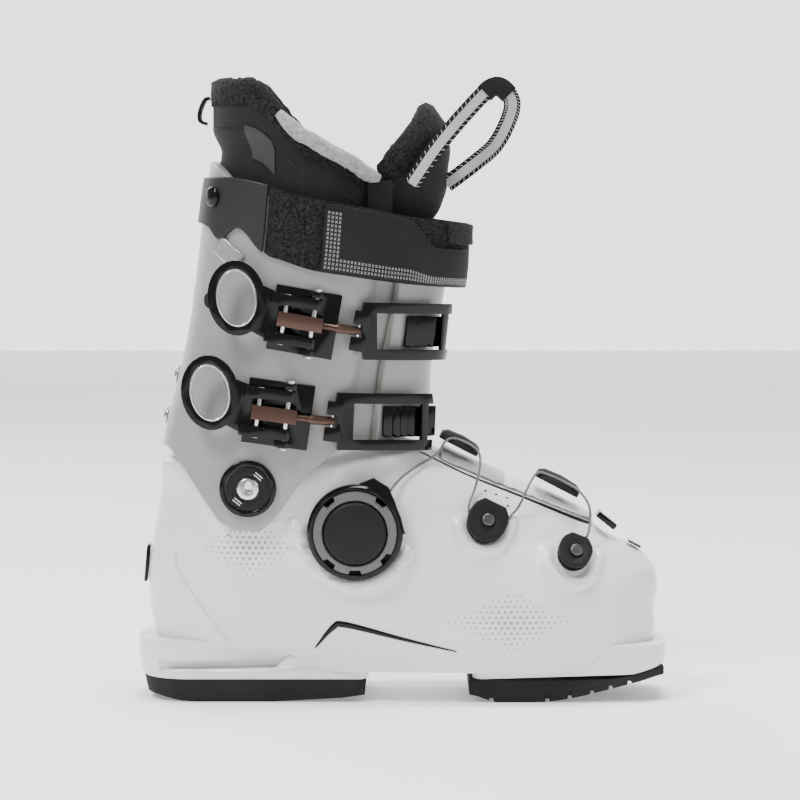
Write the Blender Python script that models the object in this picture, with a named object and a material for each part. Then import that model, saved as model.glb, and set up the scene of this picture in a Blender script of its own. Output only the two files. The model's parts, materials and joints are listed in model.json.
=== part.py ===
"""Right alpine ski boot: hinged cuff on a lower shell, two micro-adjust buckles and a lacing dial.

The row frame has +X towards the toe, -Y towards the outer (lateral) side and +Z up.
The origin is on the floor below the mid-sole point. Sizes below are in millimetres.
"""
import math

import bmesh
import bpy
from mathutils import Vector

MM = 0.001

# Driving dimensions
SOLE_LENGTH = 285.0
HEEL_X = -SOLE_LENGTH / 2
TOE_X = SOLE_LENGTH / 2
SHELL_BOTTOM = 17.0
SHELL_TOP = 150.0
SHELL_WALL = 5.0
CUFF_WALL = 4.5
GAP = 0.3
ROLL_PROUD = 4.4
FLAP_TOP = 134.5
FLAP_BOTTOM = 97.0
CENTRE_Y = 3.2

# The cuff turns about this line, parallel to Y
PIVOT_X = -81.5
PIVOT_Z = 116.4

# Outlines of the horizontal sections: (height, value)
SHELL_BACK = ((17, -131), (36, -134), (59, -137), (84, -135), (110, -130.5), (137, -129.5), (150, -126))
SHELL_FRONT = ((17, 132), (33, 137), (47, 137), (66, 138), (75, 133), (81, 126), (88, 111), (96, 101),
               (103.5, 88), (113.5, 66), (119, 53), (127, 34), (134, 20), (141, 8), (150, 4))
SHELL_CENTRE = ((17, -70), (137, -70), (200, -55), (294, -45))
SHELL_ROUND_FRONT = ((17, 3.0), (60, 3.0), (90, 2.2), (110, 2.0), (150, 2.2))
WIDTH_LOW = ((-137, 33), (-100, 37), (-60, 38.5), (-20, 42), (20, 48), (60, 53), (95, 52), (138, 42))
WIDTH_HIGH = ((-137, 34), (-80, 40), (-40, 40.5), (0, 41), (50, 44), (138, 42))
CUFF_BACK = ((94, -135), (137, -129.3), (167, -122.4), (189.5, -117), (220, -112), (257, -107.4), (294.5, -101.9))
CUFF_FRONT = ((94, 12), (142, 14), (163, 15.3), (181, 16), (220, 23), (250, 25), (295, 25))
CUFF_WIDTH = ((94, 47), (116, 47), (150, 46.5), (200, 48), (250, 51), (295, 53))
# The cuff's edges: (x, height)
CUFF_LOWER_EDGE = ((-135, 138), (-128, 137), (-122, 133), (-117, 127), (-100, 102.5), (-95, 97.5), (-82, 94),
                   (-70, 98), (-54, 119), (-43, 128.6), (-32, 136), (0, 142), (14, 149), (30, 156))
CUFF_UPPER_EDGE = ((-110, 293), (-98, 286), (-87, 277), (-57, 268), (-22, 261), (2, 254), (30, 249))
FLEX_CLEARANCE = 4.0
SIDE_CLEARANCE = 1.5

# Strap edges round the cuff: (x, height)
STRAP_TOP = ((-112, 280.5), (-87, 280), (-57, 272.4), (-22, 265.5), (2, 260), (37, 255))
STRAP_BOTTOM = ((-112, 257), (-101, 254), (-95, 248), (-86, 254), (-74, 243), (-63, 237), (-30, 228.5), (37, 219))

# Liner: its rim (x, height), the tongue's front (height, x) and the pull loop's middle line
LINER_RIM = ((-92, 331), (-84, 330), (-76, 322), (-66, 309), (-58, 302), (-36, 289), (-20, 281), (14, 275))
TONGUE_FRONT = ((178, -9), (200, -1), (225, 5.5), (244, 9.5), (256, 15.5), (266, 21.5), (285, 25), (305, 24), (319, 16))
PULL_LOOP = ((5, -34, 277), (18, -29, 296), (33, -20, 314), (47, -12, 328), (54, -9.5, 328), (59, -8.5, 321),
             (57, -8, 311), (50, -7, 298), (40, -5.5, 289), (28.5, -4, 280))

# Buckles: name, hinge axis (x, height), forward tilt in degrees
BUCKLES = (("upper", -47.0, 204.0, 10.0), ("lower", -60.8, 155.5, 8.0))
DIAL_X = -24.8
DIAL_Z = 93.1
DIAL_RADIUS = 25.5

# Places in a buckle's own frame: u forward from the lever's hinge, v along it, w off the cuff
HINGE_W = 6.2
LINK_U = -15.0
LINK_W = 10.6
BAIL_U = 22.5
BAIL_W = 5.8
BASE_SPAN_U = (-22, -4.5, 3.4, 13)
BASE_SPAN_V = (-17.2, -13.6, 13.6, 17.2)

# Lace route: (x, height, distance proud of the shell's side), or with a fourth value the place across
LACE_ROUTE = ((-9.5, 108.5, 4.6), (-5.5, 115.5, 4.2), (0, 121, 2.4), (7, 125.5, 2.4),
              (14, 128.5, 2.8), (19.5, 134, 0, -22.5), (23.5, 139.4, 0, -17), (29, 140.4, 0, -12.8),
              (38.5, 136.2, 0, -14), (42, 131, 0, -18.8), (41, 122, 0, -25.5), (37.8, 112, 2.6), (34.8, 104, 4.0),
              (36.6, 95, 5.0), (42, 89.3, 5.2), (49, 89.5, 5.0), (55, 94, 4.4), (60, 101, 2.8), (64.5, 109, 0, -26.5),
              (68, 116, 0, -21.5), (73, 122.0, 0, -14.2), (80, 120.4, 0, -12.6), (88, 116.6, 0, -12.6),
              (95, 112.6, 0, -14.5), (100, 106, 0, -19.5), (101, 98, 0, -22.5), (99.4, 90, 0, -27), (95.6, 84, 4.8))
LACE_RADIUS = 0.6


# --- Numbers -------------------------------------------------------------------------------------

def along(table, t):
    """Value at t of a smooth curve through (t, value) points, level beyond its ends."""
    ts = [point[0] for point in table]
    vs = [point[1] for point in table]
    if t <= ts[0]:
        return vs[0]
    if t >= ts[-1]:
        return vs[-1]
    i = max(k for k in range(len(ts) - 1) if ts[k] <= t)
    slopes = []
    for k in (i, i + 1):
        lo = max(k - 1, 0)
        hi = min(k + 1, len(ts) - 1)
        slopes.append((vs[hi] - vs[lo]) / (ts[hi] - ts[lo]))
    span = ts[i + 1] - ts[i]
    f = (t - ts[i]) / span
    low = vs[i] + slopes[0] * span * f
    high = vs[i + 1] - slopes[1] * span * (1 - f)
    blend = f * f * (3 - 2 * f)
    return low + (high - low) * blend


def ramp(value, low, high):
    """0 below low, 1 above high, smooth between."""
    f = min(max((value - low) / (high - low), 0.0), 1.0)
    return f * f * (3 - 2 * f)


def power(value, exponent):
    return math.copysign(abs(value) ** exponent, value)


# --- Meshes --------------------------------------------------------------------------------------

MATERIALS = {}


def material(name, colour, roughness, metallic=0.0):
    if name not in MATERIALS:
        made = bpy.data.materials.new(name)
        made.use_nodes = True
        shader = made.node_tree.nodes["Principled BSDF"]
        shader.inputs["Base Color"].default_value = (*colour, 1.0)
        shader.inputs["Roughness"].default_value = roughness
        shader.inputs["Metallic"].default_value = metallic
        MATERIALS[name] = made
    return MATERIALS[name]


def white_shell(name):
    return material(name, (0.80, 0.80, 0.80), 0.38)


def grey_cuff(name):
    return material(name, (0.42, 0.41, 0.39), 0.4)


def black_plastic(name):
    return material(name, (0.02, 0.02, 0.022), 0.35)


def dark_fabric(name):
    return material(name, (0.015, 0.015, 0.017), 0.9)


def pale_fleece(name):
    return material(name, (0.55, 0.55, 0.56), 0.95)


def steel(name):
    return material(name, (0.55, 0.55, 0.56), 0.3, 1.0)


PIVOTS = {}


def pivot(name, point):
    """An empty on a joint's axis, which carries the pieces that turn on it."""
    empty = bpy.data.objects.new(name, None)
    empty.location = Vector(point) * MM
    bpy.context.collection.objects.link(empty)
    PIVOTS[name] = empty
    return empty


def add(name, vertices, faces, look, carrier=None, is_cutter=False):
    """A closed solid from vertices in millimetres, in world places."""
    origin = Vector(carrier.location) if carrier else Vector((0, 0, 0))
    mesh = bpy.data.meshes.new(name)
    mesh.from_pydata([Vector(v) * MM - origin for v in vertices], [], faces)
    work = bmesh.new()
    work.from_mesh(mesh)
    bmesh.ops.remove_doubles(work, verts=work.verts, dist=1e-6)
    bmesh.ops.recalc_face_normals(work, faces=work.faces)
    work.to_mesh(mesh)
    work.free()
    mesh.shade_smooth()
    mesh.set_sharp_from_angle(angle=math.radians(35))
    piece = bpy.data.objects.new(name, mesh)
    bpy.context.collection.objects.link(piece)
    if carrier:
        piece.parent = carrier
    if is_cutter:
        piece.hide_render = True
        piece.display_type = "WIRE"
    else:
        mesh.materials.append(look)
    return piece


def combine(piece, other, operation):
    """Boolean modifier on piece; other becomes a hidden guide."""
    other.hide_render = True
    other.display_type = "WIRE"
    modifier = piece.modifiers.new(f"{operation.lower()}_{other.name}", "BOOLEAN")
    modifier.operation = operation
    modifier.object = other
    modifier.solver = "EXACT"
    return piece


def loft(rings):
    """Vertices and faces of a solid through closed rings of equal length, capped at both ends."""
    count = len(rings[0])
    vertices = [point for ring in rings for point in ring]
    faces = []
    for i in range(len(rings) - 1):
        for j in range(count):
            k = (j + 1) % count
            faces.append((i * count + j, i * count + k, (i + 1) * count + k, (i + 1) * count + j))
    faces.append(tuple(range(count))[::-1])
    last = (len(rings) - 1) * count
    faces.append(tuple(range(last, last + count)))
    return vertices, faces


def ring_wall(outer_rows, inner_rows):
    """A tube wall, open at both ends, through closed rows of equal length."""
    rows = list(outer_rows) + list(inner_rows)[::-1]
    count = len(rows[0])
    vertices = [point for row in rows for point in row]
    faces = []
    for i in range(len(rows)):
        n = (i + 1) % len(rows)
        for j in range(count):
            k = (j + 1) % count
            faces.append((i * count + j, i * count + k, n * count + k, n * count + j))
    return vertices, faces


def plate(surface, us, vs, low, high, solid=None):
    """A plate over a grid of cells: surface(u, v, height) gives points; solid(i, j) picks the cells."""
    columns = len(vs)

    def height(value, u, v):
        return value(u, v) if callable(value) else value

    top = [surface(u, v, height(high, u, v)) for u in us for v in vs]
    bottom = [surface(u, v, height(low, u, v)) for u in us for v in vs]
    base = len(top)

    def filled(i, j):
        inside = 0 <= i < len(us) - 1 and 0 <= j < columns - 1
        return inside and (solid is None or solid(i, j))

    faces = []
    for i in range(len(us) - 1):
        for j in range(columns - 1):
            if not filled(i, j):
                continue
            a = i * columns + j
            corners = (a, a + columns, a + columns + 1, a + 1)
            faces.append(corners)
            faces.append(tuple(base + c for c in corners[::-1]))
            sides = (((i - 1, j), (a, a + 1)), ((i + 1, j), (a + columns + 1, a + columns)),
                     ((i, j - 1), (a + columns, a)), ((i, j + 1), (a + 1, a + columns + 1)))
            for cell, (p, q) in sides:
                if not filled(*cell):
                    faces.append((p, q, base + q, base + p))
    used = sorted({index for face in faces for index in face})
    place = {index: k for k, index in enumerate(used)}
    points = top + bottom
    return [points[index] for index in used], [tuple(place[index] for index in face) for face in faces]


def lathe(centre, axis, profile, sides=32, turn=0.0):
    """A turned solid; profile is (radius, height along the axis), and closes on the axis at both ends."""
    direction = Vector(axis).normalized()
    across = direction.orthogonal().normalized()
    other = direction.cross(across)
    rings = []
    for radius, height in profile:
        ring = []
        for k in range(sides):
            angle = 2 * math.pi * k / sides + turn
            point = Vector(centre) + direction * height
            point += across * (radius * math.cos(angle)) + other * (radius * math.sin(angle))
            ring.append(point)
        rings.append(ring)
    return loft(rings)


def turned_ring(centre, axis, inner, outer, low, high, sides=32):
    """A flat ring with a rectangular section."""
    direction = Vector(axis).normalized()
    across = direction.orthogonal().normalized()
    other = direction.cross(across)

    def circle(radius, height):
        points = []
        for k in range(sides):
            angle = 2 * math.pi * k / sides
            point = Vector(centre) + direction * height
            points.append(point + across * (radius * math.cos(angle)) + other * (radius * math.sin(angle)))
        return points

    return ring_wall([circle(outer, low), circle(outer, high)], [circle(inner, low), circle(inner, high)])


def extrude(outline, frame, low, high):
    """A prism: outline is (u, v) points and frame(u, v, w) places them; w runs from low to high."""
    return loft([[frame(u, v, w) for u, v in outline] for w in (low, high)])


def sweep(path, radius, sides=8):
    """A round tube through points, with flat ends. radius is one number or one for each point."""
    points = [Vector(p) for p in path]
    radii = radius if isinstance(radius, (list, tuple)) else [radius] * len(points)
    rings = []
    side = None
    for k, point in enumerate(points):
        tangent = (points[min(k + 1, len(points) - 1)] - points[max(k - 1, 0)]).normalized()
        side = tangent.orthogonal() if side is None else side - tangent * side.dot(tangent)
        side.normalize()
        other = tangent.cross(side)
        ring = []
        for s in range(sides):
            angle = 2 * math.pi * s / sides
            ring.append(point + (side * math.cos(angle) + other * math.sin(angle)) * radii[k])
        rings.append(ring)
    return loft(rings)


def ellipse(centre, a, b, lean=0.0, count=20):
    """Points of an ellipse in a plane; lean turns it anticlockwise, in degrees."""
    turn = math.radians(lean)
    points = []
    for k in range(count):
        angle = 2 * math.pi * k / count
        u = a * math.cos(angle)
        v = b * math.sin(angle)
        points.append((centre[0] + u * math.cos(turn) - v * math.sin(turn),
                       centre[1] + u * math.sin(turn) + v * math.cos(turn)))
    return points


def side_frame(u, v, w):
    """Plane of the side view: u along X, v up, w outwards on the lateral side."""
    return (u, -w, v)


# --- Sections of the shell, the cuff and the liner -----------------------------------------------

def section_point(angle, back, front, centre, width, round_back, round_front):
    """A point on a horizontal section: angle 0 is the front, -90 degrees the lateral side."""
    c = math.cos(angle)
    s = math.sin(angle)
    exponent = round_front if c > 0 else round_back
    reach = front - centre if c > 0 else centre - back
    x = centre + reach * power(c, 2 / exponent)
    across = power(s, 2 / exponent)
    return Vector((x, across * (width(x) if callable(width) else width)))


def cuff_outline(height, angle, inset=0.0, end_inset=0.0):
    """A point of the cuff's outer surface at a height, moved inwards by inset, more at its ends."""
    back = along(CUFF_BACK, height) + inset + end_inset
    front = along(CUFF_FRONT, height) - inset - end_inset
    centre = along(SHELL_CENTRE, height)
    width = along(CUFF_WIDTH, height) - inset
    return section_point(angle, back, front, centre, width, 2.5, 2.2)


def shell_width(x, height):
    low = along(WIDTH_LOW, x)
    high = along(WIDTH_HIGH, x)
    tuck = 1.0 - 0.14 * (1 - ramp(height, SHELL_BOTTOM - 1, 32))
    return (low + (high - low) * ramp(height, 45, 95)) * tuck


def shell_outline(height, angle, inset=0.0):
    """A point of the lower shell's outer surface, which steps in under the cuff."""
    back = along(SHELL_BACK, height) + inset
    front = along(SHELL_FRONT, height) - inset
    centre = along(SHELL_CENTRE, height)
    nose = along(SHELL_ROUND_FRONT, height)
    point = section_point(angle, back, front, centre, lambda x: shell_width(x, height) - inset, 2.6, nose)
    covered = ramp(height - along(CUFF_LOWER_EDGE, point.x), -9, -5)
    if covered > 0 and height > 90:
        tucked = (CUFF_WALL + 0.8) * ramp(math.cos(angle), 0.1, 0.4)
        inner = cuff_outline(height, angle, CUFF_WALL + SIDE_CLEARANCE + tucked + inset, FLEX_CLEARANCE)
        middle = Vector((centre, 0))
        if (inner - middle).length < (point - middle).length:
            point = point.lerp(inner, covered)
    return point


def shell_ring(height, count, inset=0.0):
    ring = []
    for k in range(count):
        point = shell_outline(height, 2 * math.pi * k / count, inset)
        ring.append((point.x, point.y + CENTRE_Y, height))
    return ring


# --- Lower shell and soles -----------------------------------------------------------------------

def lug_outline(x_back, x_front, half, round_back, round_front, steps=6):
    """Plan outline of a sole lug with rounded corners, in (x, y)."""
    points = []
    corners = ((x_front, half, round_front, 0), (x_back, half, round_back, 90),
               (x_back, -half, round_back, 180), (x_front, -half, round_front, 270))
    for x, y, radius, start in corners:
        cx = x - math.copysign(radius, x - (x_back + x_front) / 2)
        cy = y - math.copysign(radius, y)
        for k in range(steps + 1):
            angle = math.radians(start + 90 * k / steps)
            points.append((cx + radius * math.cos(angle), cy + radius * math.sin(angle)))
    return points


def lug(name, outlines, look, is_cutter=False):
    """A solid through plan outlines: (height or height function of x, outline)."""
    rings = []
    for height, outline in outlines:
        rings.append([(x, y + CENTRE_Y, height(x) if callable(height) else height) for x, y in outline])
    vertices, faces = loft(rings)
    return add(name, vertices, faces, look, is_cutter=is_cutter)


def toe_rocker(x):
    """Height of the toe pad's tread: flat under the ball, rising to the toe."""
    return 15.5 * ramp(x, 70, 158) + 4.0 * (1 - ramp(x, 36, 52))


def toe_seat(x):
    """Height of the joint between the toe pad and the shell."""
    return 12.6 + 8.0 * ramp(x, 105, 155)


def lower_shell():
    white = white_shell("shell_white")
    count = 40
    levels = (17, 22, 30, 45, 60, 72, 82, 91, 99, 107, 115, 122, 129, 135, 141, SHELL_TOP)
    rings = [shell_ring(z, count) for z in levels]
    vertices, faces = loft(rings)
    shell = add("lower_shell", vertices, faces, white)

    heel = [(12.3, lug_outline(-139.5, -19, 33, 26, 5)), (24, lug_outline(HEEL_X, -14, 35, 30, 5)),
            (33.5, lug_outline(HEEL_X, -14, 35, 30, 5))]
    heel_lug = lug("guide_heel_lug", heel, white, is_cutter=True)
    combine(shell, heel_lug, "UNION")
    toe = [(toe_seat, lug_outline(38, 141.5, 34, 6, 20)), (31, lug_outline(38, TOE_X, 34.5, 6, 20))]
    toe_lug = lug("guide_toe_lug", toe, white, is_cutter=True)
    combine(shell, toe_lug, "UNION")

    inner_levels = (24, 30, 45, 60, 72, 82, 91, 99, 107, 115, 122, 129, 135, 141, SHELL_TOP + 3)
    inner = [shell_ring(z, count, SHELL_WALL) for z in inner_levels]
    inner[-1] = [(x, y, SHELL_TOP + 3) for x, y, _ in shell_ring(SHELL_TOP, count, SHELL_WALL)]
    for k, level in enumerate(inner_levels[:-1]):
        roof = max(level, 40)
        inner[k] = [(min(x, along(SHELL_FRONT, min(roof + 5, SHELL_TOP)) - SHELL_WALL), y, z)
                    for x, y, z in inner[k]]
    vertices, faces = loft(inner)
    cavity = add("cutter_cavity", vertices, faces, None, is_cutter=True)
    combine(shell, cavity, "DIFFERENCE")

    groove = ((-130, 17.6), (-68, 18.6), (-55, 31), (-62, 31.5), (-88, 23.2), (-130, 22))
    for side, low, high in (("lateral", 31, 60), ("medial", -60, -31)):
        vertices, faces = extrude(groove, side_frame, low - CENTRE_Y, high - CENTRE_Y)
        combine(shell, add(f"cutter_groove_{side}", vertices, faces, None, is_cutter=True), "DIFFERENCE")
    return shell


def soles():
    rubber = material("sole_rubber", (0.03, 0.03, 0.032), 0.85)
    heel = [(0.0, lug_outline(-126, -66, 30, 20, 4)), (3.0, lug_outline(-137, -21, 32.5, 24, 5)),
            (12.0, lug_outline(-139.5, -19, 33, 26, 5))]
    lug("heel_pad", heel, rubber)
    stations = (36, 44, 52, 58, 66, 74, 82, 90, 98, 106, 114, 122, 130, 137, 141)

    def half(x):
        return 33.5 - 9 * ramp(x, 122, 143) ** 1.5

    vertices, faces = plate(lambda u, v, h: (u, v * half(u) + CENTRE_Y, h), stations, (-1.0, 1.0),
                            lambda u, v: toe_rocker(u), lambda u, v: toe_seat(u) - GAP)
    add("toe_pad", vertices, faces, rubber)
    board = material("board_grey", (0.12, 0.12, 0.12), 0.7)
    rings = [[(x, y, z) for x, y, _ in shell_ring(24, 32, SHELL_WALL + 1.5)] for z in (24.5, 28.5)]
    vertices, faces = loft(rings)
    add("boot_board", vertices, faces, board)


def instep_flap():
    """The upper flap of the overlapping instep, lying on the shell."""
    white = white_shell("flap_white")

    def surface(u, v, h):
        z = FLAP_TOP + (FLAP_BOTTOM - FLAP_TOP) * u
        front = along(SHELL_FRONT, z)
        return (front - 5.2 * v * v * 1.4 + h * 0.45, v * 21 + CENTRE_Y, z + h * 0.9)

    us = [k / 10 for k in range(11)]
    vs = [-1, -0.6, -0.2, 0.2, 0.6, 1]
    vertices, faces = plate(surface, us, vs, 1.2, 3.2)
    add("instep_flap", vertices, faces, white)


# --- Cuff ----------------------------------------------------------------------------------------

def edge_height(table, angle, inset):
    """Height at which the wall at this angle meets an edge curve given over x."""
    height = 180.0
    for _ in range(12):
        point = cuff_outline(height, angle, inset)
        height = 0.5 * height + 0.5 * along(table, point.x)
    return height


def cuff():
    """One sheet: it starts under the front, wraps round the back and ends over the front again."""
    grey = grey_cuff("cuff_grey")
    carrier = PIVOTS["cuff_axis"]
    count = 50
    turns = [40.0 - k * 450.0 / count for k in range(count + 1)]
    steps = (0, 0.12, 0.25, 0.4, 0.55, 0.7, 0.85, 1)

    def point(turn, step, depth):
        angle = math.radians(turn)
        tuck = (CUFF_WALL + 0.8) * ramp(turn, -68, -57)
        low = edge_height(CUFF_LOWER_EDGE, angle, tuck)
        high = edge_height(CUFF_UPPER_EDGE, angle, tuck)
        height = low + (high - low) * step
        flat = cuff_outline(height, angle, tuck + depth * CUFF_WALL)
        return (flat.x, flat.y + CENTRE_Y, height)

    vertices, faces = plate(point, turns, steps, 1.0, 0.0)
    add("cuff", vertices, faces, grey, carrier)


def surface_place(height, start_x, distance, proud):
    """A point on the cuff's lateral front, distance forward along its surface from start_x."""
    angle = -110.0
    step = 1.5
    while cuff_outline(height, math.radians(angle)).x < start_x:
        angle += step
    here = cuff_outline(height, math.radians(angle))
    left = distance
    direction = 1 if distance >= 0 else -1
    while True:
        there = cuff_outline(height, math.radians(angle + direction * step))
        length = (there - here).length
        if length >= abs(left):
            break
        left -= direction * length
        angle += direction * step
        here = there
    tangent = (there - here).normalized() * direction
    place = here + tangent * left
    normal = Vector((tangent.y, -tangent.x))
    place += normal * proud
    return Vector((place.x, place.y + CENTRE_Y, height))


# --- Buckles -------------------------------------------------------------------------------------

class BuckleFrame:
    """Local directions of one buckle: u forward, v up the hinge axis, w outwards."""

    def __init__(self, x, z, tilt):
        turn = math.radians(tilt)
        self.forward = Vector((math.cos(turn), 0, -math.sin(turn)))
        self.up = Vector((math.sin(turn), 0, math.cos(turn)))
        self.out = Vector((0, -1, 0))
        flat = max(-(cuff_outline(z + d, math.radians(-90 + a)).y) for d in (-16, 16) for a in (-12, 12))
        self.origin = Vector((x, -flat + CENTRE_Y, z))
        self.slope = 0.04

    def at(self, u, v, w):
        return self.origin + self.forward * u + self.up * v + self.out * w

    def drape(self, s, v, w):
        """s forward along the cuff's surface from the bail's hinge."""
        start = self.at(BAIL_U, 0, 0)
        height = start.z - self.slope * s + v
        return surface_place(height, start.x, s, w)


def buckle(name, x, z, tilt):
    frame = BuckleFrame(x, z, tilt)
    on_cuff = PIVOTS["cuff_axis"]
    lever_axis = pivot(f"{name}_lever_axis", frame.at(0, 0, HINGE_W))
    link_axis = pivot(f"{name}_link_axis", frame.at(LINK_U, 0, LINK_W))
    hinge = frame.drape(0, 0, BAIL_W)
    bail_axis = pivot(f"{name}_bail_axis", hinge)

    def near_hinge(u, v, w):
        return hinge + frame.forward * u + frame.up * v + frame.out * w

    black = black_plastic(f"{name}_buckle_black")

    # Base plate with two cheeks that hold the lever's pin
    def flat(u, v, w):
        return frame.at(u, v, w)

    vertices, faces = plate(flat, BASE_SPAN_U, BASE_SPAN_V, 1.2, 2.8)
    base = add(f"{name}_buckle_base", vertices, faces, black, on_cuff)
    for side in (-1, 1):
        cheek = [(-4.5, 1.4), (3.4, 1.4), (3.4, 7.5), (1.5, 9.2), (-2.5, 9.2), (-4.5, 7.5)]
        low, high = sorted((side * 13.8, side * 17.0))
        rings = [[frame.at(u, v, w) for u, w in cheek] for v in (low, high)]
        vertices, faces = loft(rings)
        combine(base, add(f"guide_{name}_cheek_{side}", vertices, faces, None, on_cuff, True), "UNION")
    bore = [frame.at(0, v, HINGE_W) for v in (-20, 20)]
    vertices, faces = sweep(bore, 1.9, 14)
    combine(base, add(f"cutter_{name}_base_bore", vertices, faces, None, on_cuff, True), "DIFFERENCE")

    # Hinge pin
    pin = [frame.at(0, v, HINGE_W) for v in (-18.2, 18.2)]
    vertices, faces = sweep(pin, 1.5, 12)
    add(f"{name}_lever_pin", vertices, faces, steel(f"{name}_pin_steel"), on_cuff)

    # Lever: a ring for the finger and two arms
    ring_centre = (-41.5, 6.5)
    outline = ellipse(ring_centre, 15.2, 19.8, 16, 28)
    vertices, faces = extrude(outline, flat, 4.2, 8.4)
    lever = add(f"{name}_lever", vertices, faces, black, lever_axis)
    web = [(-32, -9), (-20, -13.2), (-17, -13.2), (-17, 13.2), (-20, 13.2), (-32, 16)]
    vertices, faces = extrude(web, flat, 3.6, 6.2)
    combine(lever, add(f"guide_{name}_web", vertices, faces, None, lever_axis, True), "UNION")
    for side in (-1, 1):
        low, high = sorted((side * 7.4, side * 13.2))
        arm = [(-24, 4.0), (-6, 3.8), (-2, 3.7), (2, 3.7), (3.0, 5.0), (3.0, 7.6), (1.6, 9.0), (-8, 10.4),
               (-15, 13.2), (-18.6, 12.4), (-24, 7.6)]
        rings = [[frame.at(u, v, w) for u, w in arm] for v in (low, high)]
        vertices, faces = loft(rings)
        combine(lever, add(f"guide_{name}_arm_{side}", vertices, faces, None, lever_axis, True), "UNION")
    hole = ellipse(ring_centre, 10.8, 15.4, 16, 28)
    vertices, faces = extrude(hole, flat, 0, 15)
    combine(lever, add(f"cutter_{name}_finger", vertices, faces, None, lever_axis, True), "DIFFERENCE")
    for label, u, w, radius in (("hinge", 0, HINGE_W, 1.9), ("link", LINK_U, LINK_W, 1.5)):
        bore = [frame.at(u, v, w) for v in (-20, 20)]
        vertices, faces = sweep(bore, radius, 14)
        cutter = add(f"cutter_{name}_lever_{label}", vertices, faces, None, lever_axis, True)
        combine(lever, cutter, "DIFFERENCE")
    lip = ellipse(ring_centre, 10.5, 15.1, 16, 28)
    lip_inner = ellipse(ring_centre, 9.6, 14.2, 16, 28)
    vertices, faces = ring_wall([[flat(u, v, w) for u, v in lip] for w in (4.0, 8.8)],
                                [[flat(u, v, w) for u, v in lip_inner] for w in (4.0, 8.8)])
    add(f"{name}_lever_lip", vertices, faces, steel(f"{name}_lip_steel"), lever_axis)

    # Link pin rides with the lever
    pin = [frame.at(LINK_U, v, LINK_W) for v in (-12.6, 12.6)]
    vertices, faces = sweep(pin, 1.2, 12)
    add(f"{name}_link_pin", vertices, faces, steel(f"{name}_link_steel"), lever_axis)

    # Threaded bar and rod: the micro-adjust link
    brown = material(f"{name}_link_brown", (0.10, 0.055, 0.04), 0.35, 0.9)
    bar = [(LINK_U - 3.4, LINK_W - 2.4), (5.5, LINK_W - 2.4), (5.5, LINK_W + 2.4), (LINK_U - 3.4, LINK_W + 2.4)]
    rings = [[frame.at(u, v, w) for u, w in bar] for v in (-3.8, 3.8)]
    vertices, faces = loft(rings)
    link = add(f"{name}_link", vertices, faces, brown, link_axis)
    rod = [frame.at(3.0, 0, LINK_W - 0.2), frame.at(12, 0, LINK_W - 1.4), frame.at(13, 0, LINK_W - 1.6),
           near_hinge(-1.2, 0, 0.3), near_hinge(1.4, 0, 0)]
    vertices, faces = sweep(rod, [1.7, 1.7, 2.6, 2.3, 2.2], 10)
    combine(link, add(f"guide_{name}_rod", vertices, faces, None, link_axis, True), "UNION")
    lever_bore = [frame.at(LINK_U, v, LINK_W) for v in (-6, 6)]
    bail_bore = [near_hinge(0, v, 0) for v in (-6, 6)]
    for label, bore, radius in (("lever", lever_bore, 1.5), ("bail", bail_bore, 1.25)):
        vertices, faces = sweep(bore, radius, 12)
        cutter = add(f"cutter_{name}_link_{label}", vertices, faces, None, link_axis, True)
        combine(link, cutter, "DIFFERENCE")
    pin = [near_hinge(0, v, 0) for v in (-9.6, 9.6)]
    vertices, faces = sweep(pin, 0.95, 10)
    add(f"{name}_bail_pin", vertices, faces, steel(f"{name}_bail_steel"), bail_axis)

    # Bail: a frame that curves round the cuff's front
    us = (2.4, 6, 10, 18, 26, 34, 42, 47, 50.5, 54)
    vs = (-15.2, -9.6, 9.6, 15.2)

    def keep(i, j):
        return j != 1 or i in (0, 1) or i == 7

    def under(u, v):
        return 3.0 + 3.4 * ramp(u, 38, 46)

    def over(u, v):
        return 6.4 + 2.6 * ramp(u, 38, 46)

    vertices, faces = plate(frame.drape, us, vs, under, over, keep)
    bail = add(f"{name}_bail", vertices, faces, black, bail_axis)
    for side in (-1, 1):
        low, high = sorted((side * 3.4, side * 10.6))
        knuckle = [(-3.2, -2.8), (5.0, -2.8), (5.0, 0.8), (1.5, 3.0), (-3.2, 3.0)]
        rings = [[near_hinge(u, v, w) for u, w in knuckle] for v in (low, high)]
        vertices, faces = loft(rings)
        combine(bail, add(f"guide_{name}_knuckle_{side}", vertices, faces, None, bail_axis, True), "UNION")
    bore = [near_hinge(0, v, 0) for v in (-10.0, 10.0)]
    vertices, faces = sweep(bore, 1.3, 12)
    combine(bail, add(f"cutter_{name}_bail_bore", vertices, faces, None, bail_axis, True), "DIFFERENCE")

    # Ladder on the medial flap
    def teeth(u, v):
        return 5.4 if int(round((u - 31) / 2.3)) % 2 == 0 and u > 30 else 2.6

    us = [27.5] + [31 + 2.3 * k for k in range(16)]
    vertices, faces = plate(frame.drape, us, (-8.2, 8.2), 0.5, teeth)
    add(f"{name}_ladder", vertices, faces, black, on_cuff)


# --- Liner, tongue and their webbing -------------------------------------------------------------

def liner_inset(height, angle):
    """How far the liner's shaft stands inside the cuff's outer surface."""
    front = ramp(math.cos(angle), 0.1, 0.45)
    inset = CUFF_WALL + 0.7 + 6.0 * front
    inset += 7.2 * (1 - ramp(height, 160, 172))
    return inset - (CUFF_WALL + 0.2) * ramp(height, 293, 306) * (1 - front)


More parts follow.
